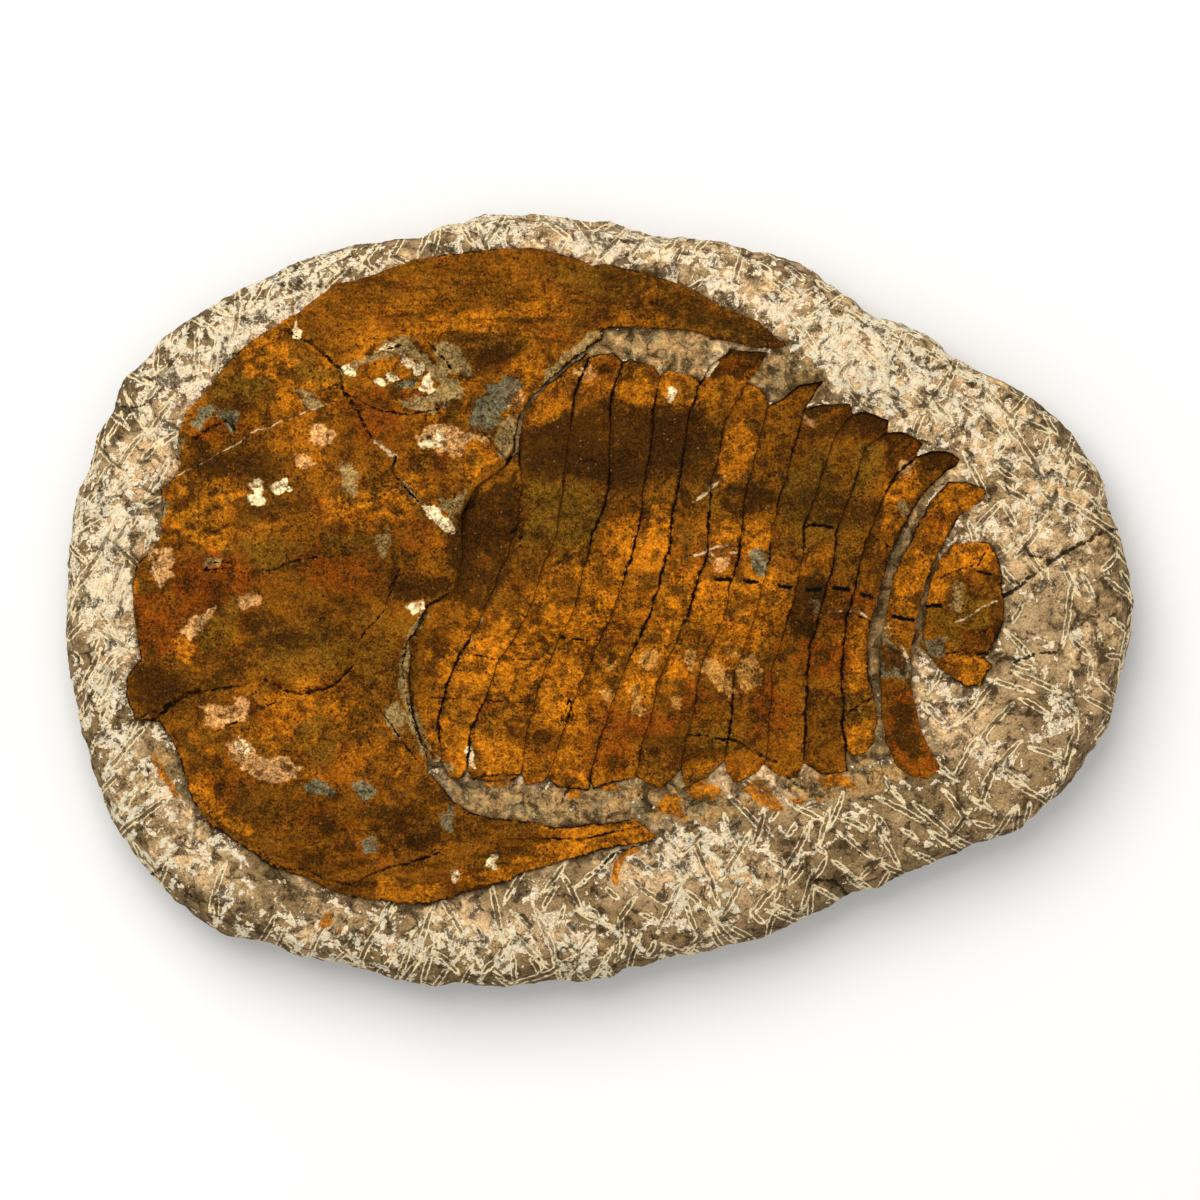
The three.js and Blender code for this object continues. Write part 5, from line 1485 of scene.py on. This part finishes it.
def shell_material(settings):
    """Orange and brown fossil shell with its stains, fillings, cracks and pits."""
    found = bpy.data.materials.get("fossil shell")
    if found:
        return found
    groups = shader_groups()
    material, web, shader, where = new_material("fossil shell")
    mottle, speckle, hairline = textures(web, groups, where)

    broad = mottle(75.0, 5.0, 3.0, 1.0, 0.4)
    middle = mottle(260.0, 4.0, 3.6, 2.0, 0.3)
    small = mottle(700.0, 3.0, 4.0, 3.0)
    fine = mottle(1600.0, 2.0, 4.0, 4.0)
    ragged = web.times_plus(small, 0.45, web.times(middle, 0.55))

    streaks = web.add(
        "ShaderNodeMapping", {"Vector": where, "Rotation": (0, 0, 0.12), "Scale": (0.22, 1.0, 1.0)}
    ).outputs[0]
    streaky = web.group(groups["mottle"], {
        "Vector": streaks, "Scale": 420.0, "Detail": 4.0, "Contrast": 2.8, "Seed": 6.0,
        "Distortion": 0.5,
    }).outputs[0]
    cloud = web.blend(web.field("streak"), middle, streaky)

    colour = web.blend(broad, linear(settings.brown), linear(settings.orange))
    warm = web.times(web.ramp(cloud, 0.45, 0.95), 0.5)
    colour = web.blend(warm, colour, linear(settings.bright))
    rusty = web.times(web.ramp(mottle(180.0, 4.0, 3.6, 5.0, 0.6), 0.55, 0.85), 0.5)
    colour = web.blend(rusty, colour, linear(settings.red))
    khaki = web.times(web.ramp(mottle(130.0, 4.0, 4.0, 8.0, 0.8), 0.6, 0.9), 0.45)
    colour = web.blend(khaki, colour, linear(settings.olive))
    tone = web.field("tone")
    colour = web.blend(web.ramp(tone, 0.05, 0.5, 0.0, 0.6), colour, linear(settings.bright))
    colour = web.blend(web.ramp(tone, -0.05, -0.5, 0.0, 0.6), colour, linear(settings.brown))
    layers = (
        ("brown", 1.0, 0.0, 0.8), ("olive", 1.0, 0.1, 0.72), ("red", 1.0, 0.1, 0.75),
        ("bright", 0.8, 0.1, 0.7), ("spot", 0.7, 0.4, 0.6), ("grey", 0.5, 0.3, 0.85),
        ("slate", 0.75, 0.2, 0.85), ("pink", 0.65, 0.2, 0.92), ("cream", 0.6, 0.4, 0.92),
        ("black", 1.2, 0.0, 0.9),
    )
    for name, raggedness, sharpness, opacity in layers:
        colour = web.group(groups["stain"], {
            "Base": colour, "Pigment": linear(getattr(settings, name)),
            "Cover": web.field("stain_" + name), "Noise": ragged, "Raggedness": raggedness,
            "Sharpness": sharpness, "Opacity": opacity,
        }).outputs["Color"]

    dark = linear(settings.black)
    rocky = web.greater(web.field("stain_pink"), web.field("stain_cream"))
    rocky = web.greater(rocky, web.field("stain_grey"), clamp=True)
    bare = web.ramp(rocky, 0.3, 0.8, 1.0, 0.3)
    net = web.times(web.ramp(cloud, 0.42, 0.12), web.ramp(small, 0.3, 0.75, 0.3, 1.0))
    net = web.times(net, bare)
    colour = web.blend(web.times(net, 0.75), colour, dark)
    value = web.plus(web.times(small, 0.5), web.times(fine, 0.72))
    value = web.plus(value, web.times(cloud, 0.28))
    layer = web.times_plus(web.minus(small, 0.5), 0.07, web.field("flaking"))
    for low in FLAKE_LEVELS:
        value = web.plus(value, web.ramp(layer, low - 0.012, low + 0.012, 0.0, 0.17))
        rim = web.math("ABSOLUTE", web.minus(layer, low - 0.02))
        value = web.minus(value, web.ramp(rim, 0.022, 0.0, 0.0, 0.32))
    value = web.math("POWER", web.plus(value, 0.25), 1.4)
    colour = web.graded(colour, value)

    cluster = web.ramp(mottle(110.0, 2.0, 4.6, 7.0), 0.45, 0.9, 0.03, 0.5)
    pits = speckle(1000.0, cluster, 0.36)
    big_pits = speckle(560.0, 0.07, 0.3)
    pits = web.greater(web.times(pits, 0.8), web.times(big_pits, 0.85))
    pits = web.times(pits, bare)
    colour = web.blend(pits, colour, dark)
    hair = hairline(120.0, 0.035, 0.5)
    colour = web.blend(web.times(hair, 0.7), colour, dark)
    flecks = speckle(950.0, 0.06, 0.3)
    colour = web.blend(web.times(flecks, 0.5), colour, linear(settings.spot))

    wobble = web.times(web.minus(small, 0.5), 1.1)
    cream_line = web.plus(web.field("crack_cream"), wobble)
    shown = web.ramp(middle, 0.25, 0.65, 0.05, 0.8)
    colour = web.blend(web.times(web.ramp(cream_line, 0.95, 0.45), shown), colour, linear(settings.cream))
    dark_line = web.plus(web.field("crack_dark"), wobble)
    crack = web.times(web.ramp(dark_line, 0.9, 0.3), web.ramp(middle, 0.15, 0.55, 0.4, 1.0))
    colour = web.blend(crack, colour, linear(CRACK_SHADE))
    slot = web.ramp(web.plus(web.field("slot"), web.times(wobble, 0.5)), 0.75, 0.4)
    colour = web.blend(slot, colour, linear(SLOT_SHADE))
    seam = web.plus(web.field("seam"), web.times(wobble, 0.6))
    # Painted shade along each segment's front edge, where it tucks under the segment ahead.
    tucked_front_shade = web.times(web.ramp(web.field("across"), 0.18, 0.0), 0.22)
    colour = web.blend(tucked_front_shade, colour, linear(settings.black))
    # Darkens the seams between pieces: a dark joint line, with painted shade deepest where a seam stands
    # open.
    open_seam = web.times(web.field("seam_strength"), 0.8)
    seam_line_and_shade = web.times(web.ramp(seam, 0.5, 0.0), open_seam, clamp=True)
    colour = web.blend(seam_line_and_shade, colour, linear(SEAM_SHADE))

    web.feed(shader.inputs["Base Color"], colour)
    web.feed(shader.inputs["Roughness"], web.ramp(middle, 0.0, 1.0, 0.6, 0.85))
    shader.inputs["Specular IOR Level"].default_value = 0.05
    height = web.plus(web.times(small, 0.8), web.times(fine, 0.4))
    height = web.minus(height, web.times(web.ramp(dark_line, 0.9, 0.3), 0.7))
    bump = web.add("ShaderNodeBump", {"Strength": 0.9, "Distance": 0.0004, "Height": height})
    web.feed(shader.inputs["Normal"], bump.outputs[0])
    return material


def stone_material(settings, shell):
    """Buff siltstone with pale chisel marks, bruises, tan rock and chips of shell."""
    found = bpy.data.materials.get("matrix stone")
    if found:
        return found
    groups = shader_groups()
    material, web, shader, where = new_material("matrix stone")
    mottle, speckle, hairline = textures(web, groups, where)

    broad = mottle(55.0, 3.0, 4.2, 11.0)
    middle = mottle(230.0, 5.0, 3.6, 12.0, 0.6)
    small = mottle(650.0, 3.0, 4.2, 13.0, 0.3)
    fine = mottle(1600.0, 2.0, 4.2, 14.0)
    ragged = web.times_plus(small, 0.5, web.times(middle, 0.5))
    blotch = web.times(mottle(150.0, 5.0, 3.4, 15.0, 0.9), 0.78)
    blotch = web.times_plus(small, 0.22, blotch)
    side = web.field("side")
    face = web.minus(1.0, side)

    deep = linear(settings.deep)
    chalk = linear(settings.bruise)
    stain = {"Noise": ragged, "Raggedness": 0.8, "Sharpness": 0.2}
    colour = web.blend(web.ramp(broad, 0.2, 1.0, 0.0, 0.75), linear(settings.body), deep)
    for name, pigment, opacity in (("shade", deep, 0.8), ("tan", linear(settings.tan), 0.9)):
        colour = web.group(groups["stain"], {
            **stain, "Base": colour, "Pigment": pigment, "Cover": web.field(name), "Opacity": opacity,
        }).outputs["Color"]
    slaty = web.times(web.ramp(blotch, 0.5, 0.75), web.times(web.field("tan"), 0.55))
    colour = web.blend(slaty, colour, linear(shell.slate))
    hair = hairline(170.0, 0.05, 0.55)
    hair = web.times(hair, web.times(web.field("tan"), 0.75))
    colour = web.blend(hair, colour, linear(TAN_VEIN_SHADE))
    value = web.plus(web.times(small, 0.5), web.times(fine, 0.45))
    value = web.plus(value, web.times(middle, 0.85))
    value = web.math("POWER", web.plus(value, 0.27), 1.4)
    colour = web.graded(colour, value)

    # Darker stone in ragged patches towards the plate's broken rim.
    rim_darkening = web.ramp(web.times_plus(ragged, 6.0, web.field("rim")), 7.5, 3.5)
    rim_darkening = web.times(rim_darkening, web.ramp(blotch, 0.25, 0.6, 0.3, 0.9))
    colour = web.blend(web.times(rim_darkening, 0.75), colour, linear(RIM_DARKER_SHADE))
    bruised = web.times_plus(web.field("bruise"), 0.36, blotch)
    bruised = web.minus(bruised, web.times(rim_darkening, 0.12))
    bruised = web.minus(bruised, web.times(web.field("tan"), 0.2))
    # Painted shadow in the gaps along the edges of the chalky flakes.
    flake_edge_shadow = web.ramp(web.math("ABSOLUTE", web.minus(bruised, 0.68)), 0.035, 0.0)
    bruised = web.times(web.ramp(bruised, 0.7, 0.78), face)
    patchy = web.ramp(web.times_plus(small, 0.5, fine), 0.3, 0.9, 0.4, 1.0)
    colour = web.blend(web.times(bruised, patchy), colour, chalk)
    flake_edge_shadow = web.times(flake_edge_shadow, web.ramp(small, 0.25, 0.6, 0.2, 0.95))
    colour = web.blend(web.times(flake_edge_shadow, face), colour, linear(FLAKE_GAP_SHADOW))

    wobble = web.times(web.minus(small, 0.5), 0.00028)
    stroke = web.plus(web.field("stroke_distance"), wobble)
    outer = web.ramp(stroke, 0.00098, 0.00078)
    inner = web.ramp(stroke, 0.0006, 0.0004)
    outline = web.times(web.minus(outer, inner, clamp=True), face)
    outline = web.times(outline, web.ramp(middle, 0.1, 0.6, 0.6, 1.0))
    # Painted shadow in a thin ring beside every chisel stroke.
    stroke_shadow_ring = web.times(web.ramp(stroke, 0.0014, 0.00085), web.times(face, 0.35))
    colour = web.blend(stroke_shadow_ring, colour, linear(STROKE_RING_SHADOW))
    trough = web.times(inner, face)
    colour = web.blend(outline, colour, linear(STROKE_SHADE))
    # Painted shade in the bottom of each stroke's groove.
    colour = web.blend(web.times(trough, web.ramp(fine, 0.4, 0.7, 0.0, 0.7)), colour, deep)
    peck = web.times_plus(wobble, 2.6, web.field("peck_distance"))
    peck = web.ramp(peck, 0.00085, 0.0006)
    peck = web.times(peck, face)
    colour = web.blend(web.times(peck, 0.85), colour, linear(PECK_SHADE))

    shadow = web.times(web.ramp(middle, 0.4, 0.16), web.ramp(small, 0.3, 0.65, 0.2, 1.0))
    specks = speckle(750.0, 0.16, 0.34)
    shadow = web.greater(shadow, web.times(specks, 0.8))
    colour = web.blend(web.times(shadow, 0.85), colour, linear(HOLLOW_SHADE))

    near_shell = web.plus(web.field("bed"), web.times(ragged, 2.2))
    rust = web.times(web.ramp(near_shell, 1.9, 0.6), web.times(face, 0.4))
    colour = web.blend(rust, colour, linear(RUST_SHADE))
    flake = web.blend(ragged, linear(shell.brown), linear(shell.bright))
    flake = web.graded(flake, value)
    chip = web.group(groups["stain"], {
        "Base": colour, "Pigment": flake, "Cover": web.field("chip"), "Noise": ragged,
        "Raggedness": 1.5, "Sharpness": 0.5, "Opacity": 0.95,
    })
    colour = chip.outputs["Color"]
    line = web.plus(web.field("crack"), web.times(web.minus(small, 0.5), 1.1))
    crack = web.ramp(line, 0.95, 0.4)
    colour = web.blend(web.times(crack, 0.9), colour, linear(STONE_CRACK_SHADE))
    # Darker, greyer stone over the plate's broken sides.
    side_darkening = web.times(side, web.ramp(middle, 0.1, 0.9, 0.25, 0.75))
    colour = web.blend(side_darkening, colour, linear(SIDE_SHADE))

    web.feed(shader.inputs["Base Color"], colour)
    web.feed(shader.inputs["Roughness"], web.ramp(small, 0.0, 1.0, 0.82, 0.98))
    shader.inputs["Specular IOR Level"].default_value = 0.08
    height = web.plus(web.times(small, 0.7), web.times(fine, 0.35))
    height = web.minus(height, web.times(trough, 0.4))
    height = web.plus(height, web.times(peck, 0.6))
    height = web.minus(height, web.times(crack, 0.8))
    bump = web.add("ShaderNodeBump", {"Strength": 0.9, "Distance": 0.0004, "Height": height})
    web.feed(shader.inputs["Normal"], bump.outputs[0])
    return material


def chisel_pass_group():
    """Scatters strokes over a face, carves them into it and keeps each point's distance to one."""
    tree, web, given, made = new_group(
        "Chisel pass", "GeometryNodeTree",
        [("Geometry", GEOMETRY, None), ("Density", FLOAT, 0.0), ("Share", FLOAT, 0.0),
         ("Spacing", FLOAT, 0.005), ("Length", FLOAT, 0.007),
         ("Width", FLOAT, 0.001), ("Depth", FLOAT, 0.0003), ("Wobble", FLOAT, 0.0006),
         ("Seed", WHOLE, 0), ("Distance Name", TEXT, "")],
        [("Geometry", GEOMETRY, None)],
    )
    get = given.outputs
    points = web.add("GeometryNodeDistributePointsOnFaces", {
        "Mesh": get["Geometry"], "Distance Min": get["Spacing"], "Density Max": get["Density"],
        "Density Factor": get["Share"], "Seed": get["Seed"],
    }, distribute_method="POISSON")

    def random(low, high, offset):
        node = web.add("FunctionNodeRandomValue", {
            2: low, 3: high, "Seed": web.plus(get["Seed"], float(offset)),
        }, data_type="FLOAT")
        return node.outputs[1]

    def flattened(height):
        parts = web.add("ShaderNodeSeparateXYZ", {0: web.add("GeometryNodeInputPosition").outputs[0]})
        given_parts = {"X": parts.outputs[0], "Y": parts.outputs[1], "Z": height}
        return web.add("ShaderNodeCombineXYZ", given_parts).outputs[0]

    level = web.add("GeometryNodeSetPosition", {
        "Geometry": points.outputs["Points"],
        "Position": flattened(random(0.0, web.times(get["Width"], 0.28), 5)),
    })
    half = web.times(get["Length"], 0.5)
    ends = []
    for sign in (-1.0, 1.0):
        x = web.times(half, sign)
        ends.append(web.add("ShaderNodeCombineXYZ", {"X": x}).outputs[0])
    line = web.add("GeometryNodeCurvePrimitiveLine", {"Start": ends[0], "End": ends[1]})
    jointed = web.add("GeometryNodeResampleCurve", {"Curve": line.outputs["Curve"]})
    jointed.inputs["Count"].default_value = 9
    along = web.add("GeometryNodeSplineParameter").outputs["Factor"]
    reach = web.times_plus(along, 2.0, -1.0)
    rise = web.times(web.times(reach, reach), web.times(get["Width"], 0.5))
    bowed = web.add("GeometryNodeSetPosition", {"Geometry": jointed.outputs["Curve"]})
    sag = web.times(web.times(reach, reach), web.times(get["Length"], 0.035))
    web.feed(bowed.inputs["Offset"], web.add("ShaderNodeCombineXYZ", {"Y": sag, "Z": rise}).outputs[0])

    drift = web.add("ShaderNodeTexNoise", {"Scale": 22.0, "Detail": 1.0}).outputs[0]
    swing = web.times_plus(drift, 2.0, random(-2.1, -1.4, 1))
    here = web.add("ShaderNodeSeparateXYZ", {0: web.add("GeometryNodeInputPosition").outputs[0]})
    one_way = web.ramp(here.outputs[0], -0.14, 0.06, 0.2, 0.6)
    other_way = web.times(web.math("GREATER_THAN", random(0.0, 1.0, 3), one_way), 1.8)
    about_face = web.times(web.math("GREATER_THAN", random(0.0, 1.0, 4), 0.5), math.pi)
    swing = web.plus(swing, web.plus(other_way, about_face))
    turn = web.add("ShaderNodeCombineXYZ", {"Z": swing}).outputs[0]
    stretch = web.add("ShaderNodeCombineXYZ", {"X": random(0.4, 1.6, 2), "Y": 1.0, "Z": 1.0}).outputs[0]
    strokes = web.add("GeometryNodeInstanceOnPoints", {
        "Points": level.outputs[0], "Instance": bowed.outputs[0], "Rotation": turn, "Scale": stretch,
    })
    real = web.add("GeometryNodeRealizeInstances", {0: strokes.outputs[0]})
    bend = web.add("ShaderNodeTexNoise", {"Scale": 260.0, "Detail": 1.0}).outputs["Color"]
    centred = web.add("ShaderNodeVectorMath", {0: bend, 1: (0.5, 0.5, 0.5)}, operation="SUBTRACT")
    sideways = web.add("ShaderNodeVectorMath", {0: centred.outputs[0], 1: (1, 1, 0)}, operation="MULTIPLY")
    push = web.add(
        "ShaderNodeVectorMath", {0: sideways.outputs[0], "Scale": get["Wobble"]}, operation="SCALE"
    )
    bent = web.add("GeometryNodeSetPosition", {"Geometry": real.outputs[0], "Offset": push.outputs[0]})
    wires = web.add("GeometryNodeCurveToMesh", {"Curve": bent.outputs[0]})
    nearest = web.add("GeometryNodeProximity", {
        0: wires.outputs[0], "Sample Position": flattened(0.0),
    }, target_element="EDGES")
    distance = nearest.outputs["Distance"]
    stored = web.add("GeometryNodeStoreNamedAttribute", {
        "Geometry": get["Geometry"], "Name": get["Distance Name"], "Value": distance,
    }, data_type="FLOAT", domain="POINT")
    groove = web.ramp(distance, web.times(get["Width"], 0.5), 0.0)
    burr = web.minus(distance, web.times(get["Width"], 0.62))
    burr = web.math("DIVIDE", burr, web.times(get["Width"], 0.3))
    burr = web.math("EXPONENT", web.times(web.times(burr, burr), -1.0))
    lift = web.minus(web.times(burr, 0.35), groove)
    sinking = web.times(lift, get["Depth"])
    open_face = web.math("GREATER_THAN", get["Share"], 0.0)
    offset = web.add("ShaderNodeCombineXYZ", {"Z": web.times(sinking, open_face)}).outputs[0]
    carved = web.add("GeometryNodeSetPosition", {"Geometry": stored.outputs[0], "Offset": offset})
    web.feed(made.inputs["Geometry"], carved.outputs[0])
    return tree


def chisel_tree():
    """Long strokes and short pecks over a dressed face."""
    chisel = chisel_pass_group()
    tree, web, given, made = new_group(
        "Chisel marks", "GeometryNodeTree",
        [("Geometry", GEOMETRY, None),
         ("Stroke Count", FLOAT, 0.0), ("Stroke Spacing", FLOAT, 0.0), ("Stroke Length", FLOAT, 0.0),
         ("Stroke Width", FLOAT, 0.0), ("Stroke Depth", FLOAT, 0.0),
         ("Peck Count", FLOAT, 0.0), ("Peck Spacing", FLOAT, 0.0), ("Peck Length", FLOAT, 0.0),
         ("Peck Width", FLOAT, 0.0), ("Peck Depth", FLOAT, 0.0),
         ("Seed", WHOLE, 0), ("Material", MATERIAL, None)],
        [("Geometry", GEOMETRY, None)],
    )
    get = given.outputs
    geometry = get["Geometry"]
    for kind, wobble, offset in (("Stroke", 0.0008, 0.0), ("Peck", 0.001, 50.0)):
        shares = web.add("GeometryNodeInputNamedAttribute", data_type="FLOAT")
        shares.inputs["Name"].default_value = kind.lower() + "_share"
        geometry = web.group(chisel, {
            "Geometry": geometry, "Density": get[kind + " Count"],
            "Share": shares.outputs["Attribute"], "Spacing": get[kind + " Spacing"],
            "Length": get[kind + " Length"],
            "Width": get[kind + " Width"], "Depth": get[kind + " Depth"], "Wobble": wobble,
            "Seed": web.plus(get["Seed"], offset),
            "Distance Name": kind.lower() + "_distance",
        }).outputs[0]
    real = web.add("GeometryNodeRealizeInstances", {0: geometry})
    coated = web.add("GeometryNodeSetMaterial", {"Geometry": real.outputs[0], "Material": get["Material"]})
    web.feed(made.inputs["Geometry"], coated.outputs[0])
    return tree


def carve_marks(piece, settings, material):
    """Carves the chisel marks into the plate and makes the result its plain mesh."""
    tree = bpy.data.node_groups.get("Chisel marks") or chisel_tree()
    modifier = piece.modifiers.new("chisel marks", "NODES")
    modifier.node_group = tree
    values = {
        "Stroke Count": settings.stroke_count, "Stroke Spacing": settings.stroke_spacing,
        "Peck Spacing": settings.peck_spacing, "Stroke Length": settings.stroke_length,
        "Stroke Width": settings.stroke_width, "Stroke Depth": settings.stroke_depth,
        "Peck Count": settings.peck_count, "Peck Length": settings.peck_length,
        "Peck Width": settings.peck_width, "Peck Depth": settings.peck_depth,
        "Seed": settings.seed, "Material": material,
    }
    for socket in tree.interface.items_tree:
        if socket.item_type == "SOCKET" and socket.name in values:
            modifier[socket.identifier] = values[socket.name]
    piece.update_tag()
    bpy.context.view_layer.update()
    evaluated = piece.evaluated_get(bpy.context.evaluated_depsgraph_get())
    carved = bpy.data.meshes.new_from_object(evaluated)
    piece.modifiers.clear()
    old = piece.data
    piece.data = carved
    bpy.data.meshes.remove(old)
    carved.name = piece.name
    if not carved.materials:
        carved.materials.append(material)


# Operators

class FOSSIL_OT_stone_plate(bpy.types.Operator):
    """Build the chiselled stone plate with the fossil's bed"""

    bl_idname = "fossil.stone_plate"
    bl_label = "Stone Plate"

    def execute(self, context):
        scene = context.scene
        build_plate(scene.fossil_stone, stone_material(scene.fossil_stone, scene.fossil_shell))
        return {"FINISHED"}


class FOSSIL_OT_head(bpy.types.Operator):
    """Build the head shield: its middle piece and both free cheeks"""

    bl_idname = "fossil.head"
    bl_label = "Head Shield"

    def execute(self, context):
        settings = context.scene.fossil_shell
        material = shell_material(settings)
        surface = HeightMap(HEAD_NODES, 1.7)
        for node in HEAD_NODES:
            build_shell(node, surface, settings, material)
        return {"FINISHED"}


class FOSSIL_OT_thorax(bpy.types.Operator):
    """Build the thirteen segments of the thorax"""

    bl_idname = "fossil.thorax"
    bl_label = "Thorax"

    def execute(self, context):
        settings = context.scene.fossil_shell
        material = shell_material(settings)
        surface = HeightMap(SEGMENT_NODES, 4.0)
        for node in SEGMENT_NODES:
            build_shell(node, surface, settings, material, profiled=True)
        return {"FINISHED"}


class FOSSIL_OT_tail(bpy.types.Operator):
    """Build the small tail shield"""

    bl_idname = "fossil.tail"
    bl_label = "Tail Shield"

    def execute(self, context):
        settings = context.scene.fossil_shell
        build_shell(TAIL_NODES[0], HeightMap(TAIL_NODES, 1.4), settings, shell_material(settings))
        return {"FINISHED"}


class FOSSIL_OT_stage(bpy.types.Operator):
    """Set up the floor, the lights and the camera"""

    bl_idname = "fossil.stage"
    bl_label = "Stage"

    def execute(self, context):
        scene = context.scene
        settings = scene.fossil_stage
        size = FLOOR_REACH
        mesh = bpy.data.meshes.new("floor")
        corners = [(-size, -size, 0), (size, -size, 0), (size, size, 0), (-size, size, 0)]
        mesh.from_pydata(corners, [], [(0, 1, 2, 3)])
        floor = bpy.data.objects.new("floor", mesh)
        floor.location.z = -FLOOR_GAP
        scene.collection.objects.link(floor)
        material, web, shader, where = new_material("studio floor")
        tone = web.add("ShaderNodeTexNoise", {"Vector": where, "Scale": 3.0, "Detail": 2.0}).outputs[0]
        pale = linear(settings.floor_colour)
        paler = tuple(min(1.0, c * 1.02) for c in pale[:3]) + (1.0,)
        web.feed(shader.inputs["Base Color"], web.blend(tone, pale, paler))
        shader.inputs["Roughness"].default_value = 0.9
        mesh.materials.append(material)

        world = bpy.data.worlds.new("studio")
        world.use_nodes = True
        background = world.node_tree.nodes["Background"]
        background.inputs["Color"].default_value = (1, 1, 1, 1)
        background.inputs["Strength"].default_value = settings.sky_strength
        scene.world = world

        light = bpy.data.lights.new("key", "AREA")
        light.energy = settings.key_power
        light.shape = "DISK"
        light.size = KEY_WIDTH
        light.color = KEY_COLOUR
        key = bpy.data.objects.new("key", light)
        key.location = KEY_PLACE
        key.rotation_euler = (Vector((0, 0, 0)) - key.location).to_track_quat("-Z", "Y").to_euler()
        scene.collection.objects.link(key)

        camera = bpy.data.cameras.new("camera")
        camera.lens = settings.lens
        camera.sensor_width = SENSOR_WIDTH
        camera.clip_end = 50.0
        view = bpy.data.objects.new("camera", camera)
        middle = place((PHOTO_WIDTH / 2, PHOTO_WIDTH / 2)) * MM
        reach = PHOTO_WIDTH * MM_PER_PIXEL * MM * settings.lens / camera.sensor_width
        view.location = (middle[0], middle[1], FACE_HEIGHT + reach)
        scene.collection.objects.link(view)
        scene.camera = view
        scene.view_settings.view_transform = "Standard"
        return {"FINISHED"}


class FOSSIL_PT_panel(bpy.types.Panel):
    """The fossil's pieces and their settings"""

    bl_idname = "FOSSIL_PT_panel"
    bl_label = "Trilobite Fossil"
    bl_space_type = "VIEW_3D"
    bl_region_type = "UI"
    bl_category = "Fossil"

    def draw(self, context):
        scene = context.scene
        groups = (
            (scene.fossil_stone, ("fossil.stone_plate",)),
            (scene.fossil_shell, ("fossil.head", "fossil.thorax", "fossil.tail")),
            (scene.fossil_stage, ("fossil.stage",)),
        )
        for settings, operators in groups:
            box = self.layout.box()
            for name in settings.bl_rna.properties.keys():
                if name not in ("rna_type", "name"):
                    box.prop(settings, name)
            for operator in operators:
                box.operator(operator)


CLASSES = (
    FOSSIL_PG_stone, FOSSIL_PG_shell, FOSSIL_PG_stage, FOSSIL_OT_stone_plate, FOSSIL_OT_head,
    FOSSIL_OT_thorax, FOSSIL_OT_tail, FOSSIL_OT_stage, FOSSIL_PT_panel,
)


def register():
    for cls in CLASSES:
        bpy.utils.register_class(cls)
    bpy.types.Scene.fossil_stone = PointerProperty(type=FOSSIL_PG_stone)
    bpy.types.Scene.fossil_shell = PointerProperty(type=FOSSIL_PG_shell)
    bpy.types.Scene.fossil_stage = PointerProperty(type=FOSSIL_PG_stage)


def unregister():
    del bpy.types.Scene.fossil_stage
    del bpy.types.Scene.fossil_shell
    del bpy.types.Scene.fossil_stone
    for cls in reversed(CLASSES):
        bpy.utils.unregister_class(cls)


def main():
    register()
    bpy.ops.fossil.stage()
    bpy.ops.fossil.stone_plate()
    bpy.ops.fossil.head()
    bpy.ops.fossil.thorax()
    bpy.ops.fossil.tail()
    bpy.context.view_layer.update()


if __name__ == "__main__":
    main()
